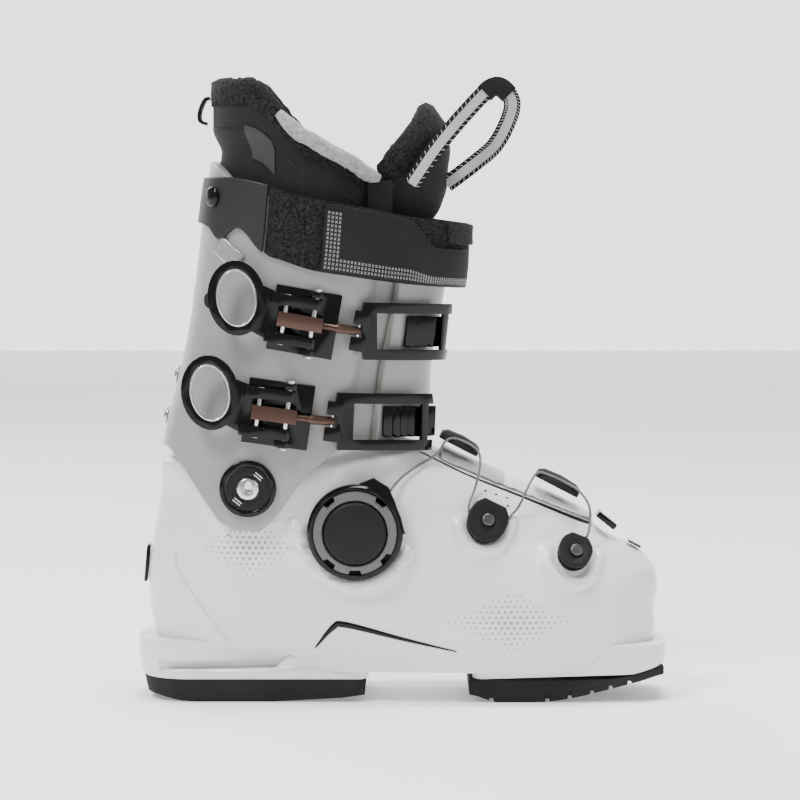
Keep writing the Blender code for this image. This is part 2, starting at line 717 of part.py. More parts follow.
def shaft_point(turn, step, depth):
    """A point of the liner's shaft, from its seam with the foot part to its rim."""
    angle = math.radians(turn)
    base = cuff_outline(200, angle, 10)
    low = 127.5 + 0.11 * max(base.x - PIVOT_X, 0)
    high = along(LINER_RIM, base.x)
    height = low + (high - low) * step
    ends = 8.0 * (1 - ramp(height, 160, 172))
    flat = cuff_outline(min(height, 294), angle, liner_inset(height, angle) + depth, ends)
    return (flat.x, flat.y + CENTRE_Y, height)


def liner():
    """The inner boot: a foot part in the shell and a shaft part in the cuff."""
    dark = dark_fabric("liner_dark")
    count = 28
    levels = (31, 38, 50, 62, 74, 84, 94, 104, 114, 124)
    inner_levels = (37, 42, 50, 62, 72, 80, 90, 100, 112, 124)

    def soft_ring(level, inset):
        limit = along(SHELL_FRONT, min(level + 8, SHELL_TOP)) - 4.5 - inset
        return [(min(x, limit), y, level) for x, y, _ in shell_ring(level, count, SHELL_WALL + inset)]

    outer = [soft_ring(z, 2.4) for z in levels]
    inner = [soft_ring(z, 7.5) for z in inner_levels]
    vertices, faces = loft(outer + inner[::-1])
    add("liner_foot", vertices, faces, dark)
    turns = [-58.0 - k * 244.0 / 26 for k in range(27)]
    steps = (0, 0.15, 0.22, 0.4, 0.6, 0.72, 0.8, 0.88, 1)
    vertices, faces = plate(shaft_point, turns, steps, 6.0, 0.0)
    add("liner_shaft", vertices, faces, dark, PIVOTS["cuff_axis"])


def tongue_point(turn, step, depth):
    """A point of the tongue: an arc round the shin, higher in its middle."""
    angle = math.radians(turn)
    top = 319.0 - 32.0 * (turn / 98.0) ** 2
    height = 178.0 + (top - 178.0) * step
    front = along(TONGUE_FRONT, height)
    radius = 24.5 + 11.0 * ramp(height, 235, 302)
    x = front - radius + (radius - depth) * math.cos(angle)
    return (x, (radius - depth) * math.sin(angle) + CENTRE_Y, height)


def ribbon(path, facing, width, thickness):
    """A flat band through points; facing is the direction its face looks."""
    points = [Vector(p) for p in path]
    look = Vector(facing).normalized()
    rings = []
    for k, point in enumerate(points):
        tangent = (points[min(k + 1, len(points) - 1)] - points[max(k - 1, 0)]).normalized()
        face = (look - tangent * look.dot(tangent)).normalized()
        across = tangent.cross(face)
        rings.append([point + across * (width / 2 * a) + face * (thickness / 2 * b)
                      for a, b in ((-1, -1), (1, -1), (1, 1), (-1, 1))])
    return loft(rings)


def tongue():
    dark = dark_fabric("tongue_dark")
    carrier = PIVOTS["cuff_axis"]
    turns = [-98 + 196 * k / 14 for k in range(15)]
    steps = (0, 0.15, 0.3, 0.45, 0.55, 0.65, 0.75, 0.85, 0.94, 1)
    vertices, faces = plate(tongue_point, turns, steps, 6.0, 0.0)
    add("liner_tongue", vertices, faces, dark, carrier)
    webbing = material("webbing_grey", (0.45, 0.45, 0.46), 0.8)
    vertices, faces = ribbon(PULL_LOOP, (0.25, -1, 0.1), 9.0, 1.8)
    add("tongue_pull_loop", vertices, faces, webbing, carrier)
    tab = ((-109.5, 309), (-104.5, 309), (-103.0, 316), (-102.6, 324), (-105.5, 324))
    vertices, faces = loft([[(x, y + CENTRE_Y, z) for x, z in tab] for y in (-9, 9)])
    add("liner_rear_tab", vertices, faces, webbing, carrier)


def collar():
    """Pale fleece roll along the lateral front of the liner's rim."""
    path = []
    for k in range(9):
        x, y, z = shaft_point(-104.0 + 44.0 * k / 8, 1.0, -ROLL_PROUD)
        path.append((x, y, z - 1.0))
    vertices, faces = sweep(path, [2.4, 3.4, 3.7, 3.7, 3.7, 3.7, 3.7, 3.5, 2.6], 8)
    add("liner_fleece_roll", vertices, faces, pale_fleece("fleece_pale"), PIVOTS["cuff_axis"])


# --- Power strap ---------------------------------------------------------------------------------

def strap_point(turn, step, proud):
    """A place round the cuff between the strap's edges; the strap stands off the tongue in front."""
    angle = math.radians(turn)
    flat = cuff_outline(250, angle, 0)
    low = along(STRAP_BOTTOM, flat.x)
    high = along(STRAP_TOP, flat.x)
    height = low + (high - low) * step
    out = cuff_outline(height, angle, -proud)
    reach = 9.0 * max(math.cos(angle), 0) ** 1.5
    return (out.x + reach, out.y + CENTRE_Y, height)


def strap():
    carrier = PIVOTS["cuff_axis"]
    rear = material("strap_plastic", (0.055, 0.055, 0.057), 0.6)
    turns = [-108 - k * 144 / 18 for k in range(19)]
    vertices, faces = plate(strap_point, turns, (0, 0.5, 1), 0.4, 2.6)
    add("strap_rear_panel", vertices, faces, rear, carrier)
    turns = [107 - k * 214 / 24 for k in range(25)]
    vertices, faces = plate(strap_point, turns, (0.02, 0.5, 0.98), 0.6, 2.4)
    add("strap_web", vertices, faces, dark_fabric("strap_web_dark"), carrier)
    turns = [-16 - k * 70 / 10 for k in range(11)]

    def label_step(turn, step, proud):
        top = 0.58 + 0.37 * ramp(-turn, 40, 55)
        return strap_point(turn, 0.03 + (top - 0.03) * step, proud)

    vertices, faces = plate(label_step, turns, (0, 0.5, 1), 2.8, 4.8)
    add("strap_end_patch", vertices, faces, material("patch_black", (0.03, 0.03, 0.032), 0.7), carrier)
    turns = [30 - k * 62 / 8 for k in range(9)]

    def elastic_step(turn, step, proud):
        return strap_point(turn, 0.66 + 0.3 * step, proud)

    vertices, faces = plate(elastic_step, turns, (0, 1), 2.8, 4.4)
    add("strap_elastic", vertices, faces, dark_fabric("elastic_black"), carrier)
    for k, turn in enumerate((-146, 146)):
        base = Vector(strap_point(turn, 0.62, 3.1))
        out = (Vector(strap_point(turn, 0.62, 5)) - base).normalized()
        vertices, faces = lathe(base, out, ((5.5, 0), (5.5, 1.2), (4.0, 2.2)), 16)
        side = ("lateral", "medial")[k]
        add(f"strap_rivet_{side}", vertices, faces, black_plastic("rivet_black"), carrier)


def cuff_trim():
    carrier = PIVOTS["cuff_axis"]
    silver = material("ribbed_silver", (0.5, 0.5, 0.5), 0.3, 0.8)

    def rib_surface(u, v, h):
        x = -88.2 + 0.75 * u + 0.66 * v
        z = 243.6 - 0.70 * u + 0.72 * v
        turn = -90.0
        while cuff_outline(z, math.radians(turn)).x > x:
            turn -= 1.0
        flat = cuff_outline(z, math.radians(turn), -h)
        return (flat.x, flat.y + CENTRE_Y, z)

    us = [-7 + 2 * k for k in range(8)]
    vertices, faces = plate(rib_surface, us, (-9, -3, 1.0), 0.5, 1.9)
    add("strap_anchor_ribbed", vertices, faces, silver, carrier)
    turn = -90.0
    while cuff_outline(215.6, math.radians(turn)).x > -101.5:
        turn -= 1
    base = cuff_outline(215.6, math.radians(turn), -0.4)
    tip = cuff_outline(215.6, math.radians(turn), -3)
    out = (tip - base).normalized()
    vertices, faces = lathe((base.x, base.y + CENTRE_Y, 215.6), (out.x, out.y, 0), ((4.4, 0), (4.0, 1.0)), 16)
    add("cuff_plug", vertices, faces, black_plastic("plug_black"), carrier)


# --- Pivots, dial, guides and lace ---------------------------------------------------------------

def pivots():
    carrier = PIVOTS["cuff_axis"]
    for name, side in (("lateral", -1), ("medial", 1)):
        face = max(abs(cuff_outline(PIVOT_Z + d, math.radians(90 + a)).y) for d in (-14, 14) for a in (-20, 0, 20))
        y = side * face + CENTRE_Y
        axis = pivot(f"canting_axis_{name}", (PIVOT_X, y, PIVOT_Z))
        ring_axis = (0, side, 0)
        vertices, faces = turned_ring((PIVOT_X, y, PIVOT_Z), ring_axis, 12.0, 15.1, 0.3, 2.6, 32)
        add(f"canting_ring_{name}", vertices, faces, black_plastic("canting_black"), carrier)
        outer = turned_ring((PIVOT_X, y, PIVOT_Z), ring_axis, 6.6, 11.6, 0.3, 2.4, 28)
        add(f"canting_disc_{name}", outer[0], outer[1], black_plastic("canting_dark"), axis)
        vertices, faces = lathe((PIVOT_X, y, PIVOT_Z), ring_axis, ((6.2, 0.3), (6.2, 2.2), (5.2, 3.2)), 24)
        screw = add(f"pivot_screw_{name}", vertices, faces, steel("screw_steel"), carrier)
        socket = [(2.6 * math.cos(math.radians(60 * k)), 2.6 * math.sin(math.radians(60 * k))) for k in range(6)]
        rings = [[(PIVOT_X + u, y + side * w, PIVOT_Z + v) for u, v in socket] for w in (1.6, 6)]
        vertices, faces = loft(rings)
        combine(screw, add(f"cutter_socket_{name}", vertices, faces, None, None, True), "DIFFERENCE")


def shell_face(x, z):
    """The lateral surface of the lower shell at x and height z, as y."""
    best = None
    for k in range(0, 181):
        point = shell_outline(z, -math.pi * k / 180)
        if best is None or abs(point.x - x) < abs(best.x - x):
            best = point
    return best.y + CENTRE_Y


def shell_normal(x, z):
    d = 3.0
    slope_x = (shell_face(x + d, z) - shell_face(x - d, z)) / (2 * d)
    slope_z = (shell_face(x, z + d) - shell_face(x, z - d)) / (2 * d)
    return Vector((slope_x, -1, slope_z)).normalized()


def dial():
    face = min(shell_face(DIAL_X + a, DIAL_Z + b) for a in (-20, 0, 20) for b in (-20, 0, 16))
    centre = (DIAL_X, face - 0.4, DIAL_Z)
    out = (0, -1, 0)
    black = black_plastic("dial_black")
    vertices, faces = lathe(centre, out, ((DIAL_RADIUS, 0.0), (DIAL_RADIUS, 6.0), (24.2, 7.4)), 40)
    housing = add("dial_housing", vertices, faces, black)
    exit_block = ((-24, 100), (2, 92), (-3.6, 109), (-7, 117), (-15, 122), (-22.5, 119))
    vertices, faces = extrude(exit_block, side_frame, -face + 0.6, -face + 6.2)
    combine(housing, add("guide_dial_exit", vertices, faces, None, None, True), "UNION")
    vertices, faces = lathe(centre, out, ((22.6, 2.2), (22.6, 12)), 40)
    combine(housing, add("cutter_dial_well", vertices, faces, None, None, True), "DIFFERENCE")
    axis = pivot("dial_axis", centre)
    vertices, faces = lathe(centre, out, ((9.0, 2.6), (9.0, 6.4)), 24)
    add("dial_spool", vertices, faces, steel("spool_grey"), axis)
    grey = material("dial_grey", (0.16, 0.16, 0.16), 0.45)
    vertices, faces = turned_ring(centre, out, 17.2, 22.0, 2.8, 12.0, 40)
    add("dial_grip_ring", vertices, faces, grey, axis)
    vertices, faces = lathe(centre, out, ((16.6, 6.8), (16.6, 12.4), (15.4, 13.4)), 40)
    add("dial_cap", vertices, faces, black, axis)
    return housing


def side_guides():
    """Two lace guides on the lateral side, each held by a screw."""
    made = []
    black = black_plastic("guide_black")
    for number, x, z, half_u, half_v, lean in ((1, 44.3, 96.1, 10.6, 12.0, -24), (2, 90.8, 78.6, 9.0, 11.0, -17)):
        normal = shell_normal(x, z)
        across = Vector((1, 0, 0)) - normal * normal.x
        across.normalize()
        up = normal.cross(across)
        up = up if up.z > 0 else -up
        centre = Vector((x, shell_face(x, z), z)) + normal * 2.6

        def frame(u, v, w, centre=centre, across=across, up=up, normal=normal):
            return centre + across * u + up * v + normal * w

        outline = ellipse((0, 0), half_u, half_v, lean, 20)
        vertices, faces = extrude(outline, frame, 0.0, 5.6)
        guide = add(f"side_guide_{number}", vertices, faces, black)
        vertices, faces = lathe(centre, normal, ((3.9, 2.4), (3.9, 9)), 20)
        combine(guide, add(f"cutter_guide_bore_{number}", vertices, faces, None, None, True), "DIFFERENCE")
        vertices, faces = lathe(centre, normal, ((3.5, 2.7), (3.5, 6.2), (2.8, 6.8)), 20)
        add(f"side_guide_screw_{number}", vertices, faces, steel("guide_screw_steel"))
        made.append(guide)
    return made


def top_guides():
    """Two lace guides on the instep."""
    made = []
    black = black_plastic("top_guide_black")
    for number, x0, z0, x1, z1 in ((1, 18.6, 138.0, 38.6, 127.6), (2, 70.5, 117.0, 92.8, 105.4)):
        start = Vector((x0, 0, z0))
        end = Vector((x1, 0, z1))
        along_flap = (end - start).normalized()
        up = Vector((-along_flap.z, 0, along_flap.x))
        rings = []
        for f, half, rise in ((0, 7.0, 4.2), (0.12, 8.5, 5.8), (0.5, 9.0, 6.6), (0.88, 8.5, 5.8), (1, 7.0, 4.2)):
            middle = start.lerp(end, f) + up * 3.4
            section = []
            for k in range(12):
                angle = math.pi * k / 11
                section.append(middle + Vector((0, half * math.cos(angle) - 9 + CENTRE_Y, 0))
                               + up * (rise * math.sin(angle)))
            rings.append(section)
        vertices, faces = loft(rings)
        made.append(add(f"top_guide_{number}", vertices, faces, black))
    return made


def curve_through(points, steps):
    """Points of a smooth curve through the given ones, steps to each span."""
    knots = [Vector(p) for p in points]
    out = []
    for k in range(len(knots) - 1):
        before = knots[max(k - 1, 0)]
        after = knots[min(k + 2, len(knots) - 1)]
        a, b = knots[k], knots[k + 1]
        for step in range(steps):
            f = step / steps
            tangent_a = (b - before) * 0.5
            tangent_b = (after - a) * 0.5
            out.append(a * (1 + 2 * f) * (1 - f) ** 2 + b * f * f * (3 - 2 * f)
                       + tangent_a * f * (1 - f) ** 2 - tangent_b * f * f * (1 - f))
    out.append(knots[-1])
    return out


def lace(guides, housing):
    """One steel lace from the dial, through the instep guides and round the side guides."""
    knots = []
    for place in LACE_ROUTE:
        x, z, proud = place[:3]
        if len(place) > 3:
            knots.append((x, place[3], z))
        else:
            knots.append(Vector((x, shell_face(x, z), z)) + shell_normal(x, z) * proud)
    path = curve_through(knots, 3)
    vertices, faces = sweep(path, LACE_RADIUS, 6)
    add("lace", vertices, faces, steel("lace_steel"))
    for number, guide in enumerate(guides + [housing]):
        vertices, faces = sweep(path, LACE_RADIUS + 0.5, 6)
        combine(guide, add(f"cutter_lace_{number}", vertices, faces, None, None, True), "DIFFERENCE")


def small_trim():
    """Clip and blank badge on the toe, plate on the heel and the two spine bolts."""
    black = black_plastic("trim_black")

    def top_place(u, v, w, x0, z0, x1, z1):
        start = Vector((x0, 0, z0))
        direction = (Vector((x1, 0, z1)) - start)
        up = Vector((-direction.z, 0, direction.x)).normalized()
        return start + direction * u + Vector((0, v + CENTRE_Y, 0)) + up * w

    for name, x0, z0, x1, z1, half, low, high in (("front_clip", 104.5, 97.5, 114, 90, 8, 0.6, 4.0),
                                                  ("toe_badge", 121.5, 82.6, 128.5, 79.0, 6, 1.6, 2.6)):
        vertices, faces = plate(lambda u, v, w: top_place(u, v, w, x0, z0, x1, z1), (0, 0.5, 1),
                                (-half - 4, -4, half - 4), low, high)
        add(name, vertices, faces, black)
    plate_rows = [[(along(SHELL_BACK, z) - w, y + CENTRE_Y, z) for y, z in
                   ((-7, 62), (7, 62), (7, 82), (-7, 82))] for w in (0.9, 2.8)]
    vertices, faces = loft(plate_rows)
    add("heel_back_plate", vertices, faces, black)
    for name, z in (("spine_bolt_lower", 152.0), ("spine_bolt_upper", 174.0)):
        back = along(CUFF_BACK, z)
        out = Vector((-1, 0, 0.21)).normalized()
        centre = Vector((back, CENTRE_Y, z)) + out * 0.4
        vertices, faces = lathe(centre, out, ((5.0, 0), (5.0, 1.0), (3.6, 2.2)), 16)
        add(name, vertices, faces, steel("bolt_steel"), PIVOTS["cuff_axis"])


def main():
    for existing in list(bpy.data.objects):
        bpy.data.objects.remove(existing, do_unlink=True)
    pivot("cuff_axis", (PIVOT_X, CENTRE_Y, PIVOT_Z))
    lower_shell()
    soles()
    instep_flap()
    cuff()
    for name, x, z, tilt in BUCKLES:
        buckle(name, x, z, tilt)
    liner()
    tongue()
    collar()
    strap()
    cuff_trim()
    pivots()
    lace(side_guides() + top_guides(), dial())
    small_trim()


main()
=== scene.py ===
"""Looks of the right alpine ski boot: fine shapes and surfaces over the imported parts.

Sizes are in millimetres in the helpers below and become metres when a mesh is made.
+X is towards the toe, -Y towards the outer side of the foot and +Z is up.
"""

import json
import math

import bmesh
import bpy
import numpy as np
from bpy.props import FloatProperty, FloatVectorProperty, IntProperty, PointerProperty
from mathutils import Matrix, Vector
from mathutils.bvhtree import BVHTree


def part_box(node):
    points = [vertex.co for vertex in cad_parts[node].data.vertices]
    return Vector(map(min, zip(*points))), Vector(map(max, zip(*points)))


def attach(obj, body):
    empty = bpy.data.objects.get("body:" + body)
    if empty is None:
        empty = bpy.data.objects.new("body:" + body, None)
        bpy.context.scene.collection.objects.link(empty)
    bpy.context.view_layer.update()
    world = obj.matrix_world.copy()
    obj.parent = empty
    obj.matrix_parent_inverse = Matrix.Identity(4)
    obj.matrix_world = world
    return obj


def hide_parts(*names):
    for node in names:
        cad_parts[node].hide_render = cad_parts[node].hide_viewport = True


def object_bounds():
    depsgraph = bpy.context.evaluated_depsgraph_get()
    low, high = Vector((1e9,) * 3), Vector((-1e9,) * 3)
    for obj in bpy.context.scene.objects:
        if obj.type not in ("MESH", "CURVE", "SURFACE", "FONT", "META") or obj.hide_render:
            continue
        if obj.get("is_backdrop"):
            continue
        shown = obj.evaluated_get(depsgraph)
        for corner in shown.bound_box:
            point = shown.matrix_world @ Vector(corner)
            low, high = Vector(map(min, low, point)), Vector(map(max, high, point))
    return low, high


bl_info = {
    "name": "Alpine ski boot",
    "version": (1, 0, 0),
    "blender": (4, 5, 0),
    "location": "3D View > Sidebar > Boot",
    "description": "Fine shapes, finishes and a studio for the ski boot",
    "category": "Object",
}

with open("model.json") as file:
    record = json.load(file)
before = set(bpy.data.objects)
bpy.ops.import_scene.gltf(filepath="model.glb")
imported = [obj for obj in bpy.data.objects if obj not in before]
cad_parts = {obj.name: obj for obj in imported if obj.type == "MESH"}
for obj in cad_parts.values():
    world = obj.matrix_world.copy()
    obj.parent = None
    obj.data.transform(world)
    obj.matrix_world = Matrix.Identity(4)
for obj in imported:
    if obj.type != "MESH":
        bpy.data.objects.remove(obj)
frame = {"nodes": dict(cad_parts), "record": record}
FIRST_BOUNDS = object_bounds()
BODY_OF = {node: body for body, nodes in frame["record"]["behaviour"]["bodies"].items() for node in nodes}

MM = 0.001
SHELL_TOP = 150.0
SHELL_WALL = 5.0
SHELL_BASE = 17.0
CUFF_WALL = 4.5
LINER_THICK = 6.0
CENTRE_Y = 3.2
PIVOT_X = -81.5
PIVOT_Z = 116.4
DIAL_X = -24.8
DIAL_Z = 93.1
# Degrees round the leg where the cuff's sheet starts under the front and ends over it
CUFF_UNDER = 40
CUFF_OVER = -410
FLEX_CLEARANCE = 4.0
SIDE_CLEARANCE = 1.5
# Rims that stand out of the shell: radii where each starts, is full, falls and ends, then how proud it is
DIAL_COLLAR = (24.5, 28, 32, 34.8)
DIAL_COLLAR_PROUD = 5.0
GUIDE_RIM = (10, 12.5, 15.5, 18)
GUIDE_RIM_PROUD = 3.4
FULL_TURN = 2 * math.pi
# Degrees past which an edge counts as a rim, and the same for pieces with no hard edge at all
RIM_ANGLE = 60
SOFT_ALL_OVER = 180

# Outlines of the horizontal sections: (height, value)
SHELL_BACK = ((17, -131), (36, -134), (59, -137), (84, -135), (110, -130.5), (137, -129.5), (150, -126))
SHELL_FRONT = ((17, 132), (33, 137), (47, 137), (66, 138), (75, 133), (81, 126), (88, 111), (96, 101),
               (103.5, 88), (113.5, 66), (119, 53), (127, 34), (134, 20), (141, 8), (150, 4))
SHELL_CENTRE = ((17, -70), (137, -70), (200, -55), (294, -45))
SHELL_ROUND_FRONT = ((17, 3.0), (60, 3.0), (90, 2.2), (110, 2.0), (150, 2.2))
WIDTH_LOW = ((-137, 33), (-100, 37), (-60, 38.5), (-20, 42), (20, 48), (60, 53), (95, 52), (138, 42))
WIDTH_HIGH = ((-137, 34), (-80, 40), (-40, 40.5), (0, 41), (50, 44), (138, 42))
CUFF_BACK = ((94, -135), (137, -129.3), (167, -122.4), (189.5, -117), (220, -112), (257, -107.4),
             (294.5, -101.9))
CUFF_FRONT = ((94, 12), (142, 14), (163, 15.3), (181, 16), (220, 23), (250, 25), (295, 25))
CUFF_WIDTH = ((94, 47), (116, 47), (150, 46.5), (200, 48), (250, 51), (295, 53))
CUFF_LOWER_EDGE = ((-135, 138), (-128, 137), (-122, 133), (-117, 127), (-100, 102.5), (-95, 97.5), (-82, 94),
                   (-70, 98), (-54, 119), (-43, 128.6), (-32, 136), (0, 142), (14, 149), (30, 156))
CUFF_UPPER_EDGE = ((-110, 293), (-98, 286), (-87, 277), (-57, 268), (-22, 261), (2, 254), (30, 249))
STRAP_TOP = ((-112, 280.5), (-87, 280), (-57, 272.4), (-22, 265.5), (2, 260), (37, 255))
STRAP_BOTTOM = ((-112, 257), (-101, 254), (-95, 248), (-86, 254), (-74, 243), (-63, 237), (-30, 228.5),
                (37, 219))
LINER_RIM = ((-92, 331), (-84, 330), (-76, 322), (-66, 309), (-58, 302), (-36, 289), (-20, 281), (14, 275))
TONGUE_FRONT = ((178, -9), (200, -1), (225, 5.5), (244, 9.5), (256, 15.5), (266, 21.5), (285, 25), (305, 24),
                (319, 16))
TONGUE_BASE = 178.0
TONGUE_TOP = 319.0
TONGUE_SIDE = 98.0
PULL_LOOP = ((5, -34, 277), (18, -29, 296), (33, -20, 314), (47, -12, 328), (54, -9.5, 328), (59, -8.5, 321),
             (57, -8, 311), (50, -7, 298), (40, -5.5, 289), (24.0, -3.2, 276.8))
LOOP_FOLD = ((44.2, -13.3, 325.4), (47, -12, 328), (50.6, -10.7, 329.2), (54, -9.5, 328), (57.2, -8.9, 324.8))
LOOP_WIDTH = 9.0
LOOP_THICK = 1.7
LOOP_FACING = (0.25, -1, 0.1)
REAR_TAB = ((-103.4, CENTRE_Y, 323), (-106.0, CENTRE_Y, 322), (-108.6, CENTRE_Y, 316),
            (-108.6, CENTRE_Y, 311), (-105.0, CENTRE_Y, 309.2))
# The lace's way: (x, height, stand-off from the shell), or (x, height, 0, y) where it leaves the shell
LACE_ROUTE = ((-9.5, 108.5, 4.6), (-5.5, 115.5, 4.2), (0, 121, 2.4), (7, 125.5, 2.4), (14, 128.5, 2.8),
              (19.5, 134, 0, -22.5), (23.5, 139.4, 0, -17), (29, 140.4, 0, -12.8), (38.5, 136.2, 0, -14),
              (42, 131, 0, -18.8), (41, 122, 0, -25.5), (37.8, 112, 2.6), (34.8, 104, 4.0), (36.6, 95, 5.0),
              (42, 89.3, 5.2), (49, 89.5, 5.0), (55, 94, 4.4), (60, 101, 2.8), (64.5, 109, 0, -26.5),
              (68, 116, 0, -21.5), (73, 122.0, 0, -14.2), (80, 120.4, 0, -12.6), (88, 116.6, 0, -12.6),
              (95, 112.6, 0, -14.5), (100, 106, 0, -19.5), (101, 98, 0, -22.5), (99.4, 90, 0, -27),
              (95.6, 84, 4.8))
# Places on the side of the shell: (x, height)
ACCENT_LINE = ((-46.6, 30), (-36.7, 41.5), (-30, 43), (-1, 36.2), (29, 29.6))
ACCENT_WIDTH = (0.4, 3.0, 3.2, 2.0, 0.4)
HEEL_RIDGE = ((-121, 79), (-120.5, 70), (-104, 46), (-92, 33))
RIDGE_WIDTH = (1.0, 2.4, 2.4, 1.0)
# Black strip just under the flap's lower edge, painted shade where the flap overhangs the shell: (x, height),
# then its widths
FLAP_SHADE_LINE = ((10, 133.6), (34.2, 121.6), (66, 108.6), (95, 96.4), (102, 93.8))
FLAP_SHADE_WIDTH = (0.5, 0.7, 1.0, 1.5, 0.8)
FLAP_EDGE = ((8.8, 134.6), (34.2, 122.6), (66, 109.6), (95, 97.5), (103, 94.6))
HEEL_GROOVE = ((-130, 17.6), (-68, 18.6), (-55, 31), (-62, 31.5), (-88, 23.2), (-130, 22))
HEEL_SLOT = ((-44, 18.4), (-37, 18.4), (-37, 22.6), (-44, 22.6))
FIT_SCALE = ((44.5, 117), (44.8, 113), (45, 109), (50.5, 115), (50.5, 111), (56, 113), (56.4, 109),
             (56.8, 105))
# Diamonds of dots on the side of the shell: (x, height, half length, half height)
REAR_FIELD = (-81, 84, 26, 16)
FRONT_FIELD = (58, 45, 34, 18)
DOT_PITCH = 3.3
SIDE_GUIDES = ((44.3, 96.1), (90.8, 78.6))
# Half length, half height and lean in degrees of each side guide, then its profile: (height, inset)
GUIDE_SIZES = ((10.6, 12.0, -24), (9.0, 11.0, -17))
GUIDE_PROFILE = ((2.4, 0.3), (4.0, 0), (4.3, 1.5), (5.7, 1.5), (6.0, 0), (7.4, 0), (8.2, 0.9), (8.3, 2.6),
                 (7.6, 5.4), (7.5, 6.0))
FLAP_GREY_END = 55
FLAP_START = 20.5
FLAP_END = 102
# Lean of each buckle and the reach of its pins' heads from the middle of the pin, with their radius
BUCKLE_LEAN = {"upper": 10, "lower": 8}
PIN_HEADS = (("lever_pin", "pin_heads", 18.0, 2.5), ("link_pin", "link_heads", 12.9, 2.0))
STRAND_TWIST = 0.77
STRAND_OFFSET = 0.341
STRAND_RADIUS = 0.42
GRIP_RADIUS = 22.0
GRIP_INSIDE = 17.2
GRIP_NOTCHES = (130, 50, -40, -90, -130)
NOTCH_DEPTH = 2.2
CANTING_MARKS = (8.0, 9.4)
# The ribbed anchor's middle in x and height, and the directions across its ribs and along them
ANCHOR_MIDDLE = Vector((-90.84, 240.72))
ANCHOR_ACROSS = Vector((0.75, -0.70))
ANCHOR_ALONG = Vector((0.66, 0.72))
ANCHOR_RIBS = 9
RIB_PITCH = 1.5
THREAD_START = 6.2
THREAD_PITCH = 0.5
# The mesh print on the strap's patch
PRINT_START = -84.5
PRINT_REACH = 68
PRINT_PROUD = 4.86
PRINT_BAR = (1.7, 0.34, 0.14)
# Lamps: (name, place in metres, size, watts)
LAMPS = (("key_light", (-0.9, -1.0, 1.7), 0.5, 40.0), ("front_light", (1.5, -0.7, 0.9), 0.7, 8.0),
         ("top_light", (0.1, 0.0, 1.9), 0.7, 42.0), ("rim_light", (-0.9, 1.3, 1.1), 0.8, 12.0))
ROOM_LIGHT = 0.48
FLOOR_GLOW = 0.3
BACKDROP_GLOW = 1.3
CAMERA_TARGET = (-0.001, -0.045, 0.1635)
CAMERA_LENS = 150.0
SENSOR_WIDTH = 36.0
VIEW_WIDTH = 0.4222


# --- Numbers -------------------------------------------------------------------------------------

def along(table, t):
    """Values at t of a smooth curve through (t, value) points, level beyond its ends."""
    ts, vs = np.array(table, float).T
    last = len(ts) - 1
    lower = np.maximum(np.arange(last + 1) - 1, 0)
    upper = np.minimum(np.arange(last + 1) + 1, last)
    slopes = (vs[upper] - vs[lower]) / (ts[upper] - ts[lower])
    t = np.clip(np.asarray(t, float), ts[0], ts[-1])
    i = np.clip(np.searchsorted(ts, t, side="right") - 1, 0, last - 1)
    span = ts[i + 1] - ts[i]
    f = (t - ts[i]) / span
    low = vs[i] + slopes[i] * span * f
    high = vs[i + 1] - slopes[i + 1] * span * (1 - f)
    return low + (high - low) * f * f * (3 - 2 * f)


def ramp(value, low, high):
    """0 below low, 1 above high, smooth between."""
    f = np.clip((np.asarray(value, float) - low) / (high - low), 0.0, 1.0)
    return f * f * (3 - 2 * f)


def hump(value, low, full, end, high):
    """0 outside low..high and 1 between full and end."""
    return ramp(value, low, full) * (1 - ramp(value, end, high))


def power(value, exponent):
    return np.sign(value) * np.abs(value) ** exponent


# --- Sections of the shell, the cuff and the liner -----------------------------------------------

def section_point(angle, back, front, centre, width, round_back, round_front):
    """Points on horizontal sections: angle 0 is the front, -90 degrees the outer side."""
    c = np.cos(angle)
    s = np.sin(angle)
    exponent = np.where(c > 0, round_front, round_back)
    reach = np.where(c > 0, front - centre, centre - back)
    x = centre + reach * power(c, 2 / exponent)
    half = width(x) if callable(width) else width
    return x, power(s, 2 / exponent) * half


def cuff_outline(height, angle, inset=0.0, end_inset=0.0):
    back = along(CUFF_BACK, height) + inset + end_inset
    front = along(CUFF_FRONT, height) - inset - end_inset
    width = along(CUFF_WIDTH, height) - inset
    return section_point(angle, back, front, along(SHELL_CENTRE, height), width, 2.5, 2.2)


def shell_width(x, height):
    low = along(WIDTH_LOW, x)
    high = along(WIDTH_HIGH, x)
    under_sole = 0.14 * (1 - ramp(height, 16, 32))
    under_heel = 0.14 * (1 - ramp(height, 24, 31)) * (1 - ramp(x, -70, -50))
    tuck = 1.0 - under_sole - under_heel
    return (low + (high - low) * ramp(height, 45, 95)) * tuck


def shell_outline(height, angle, inset=0.0):
    """The lower shell's outer surface, which steps in under the cuff."""
    back = along(SHELL_BACK, height) + inset
    front = along(SHELL_FRONT, height) - inset
    centre = along(SHELL_CENTRE, height)
    nose = along(SHELL_ROUND_FRONT, height)
    x, y = section_point(angle, back, front, centre, lambda at: shell_width(at, height) - inset, 2.6, nose)
    covered = np.where(height > 90, ramp(height - along(CUFF_LOWER_EDGE, x), -9, -5), 0)
    tucked = (CUFF_WALL + 0.8) * ramp(np.cos(angle), 0.1, 0.4)
    clear = CUFF_WALL + SIDE_CLEARANCE + tucked + inset
    inner_x, inner_y = cuff_outline(height, angle, clear, FLEX_CLEARANCE)
    nearer = np.hypot(inner_x - centre, inner_y) < np.hypot(x - centre, y)
    covered = np.where(nearer, covered, 0)
    return x + (inner_x - x) * covered, y + (inner_y - y) * covered


def edge_height(table, angle, inset):
    """Height at which the cuff's wall at this angle meets an edge curve given over x."""
    height = np.full(np.shape(angle), 180.0)
    for _ in range(14):
        x, _y = cuff_outline(height, angle, inset)
        height = 0.5 * height + 0.5 * along(table, x)
    return height


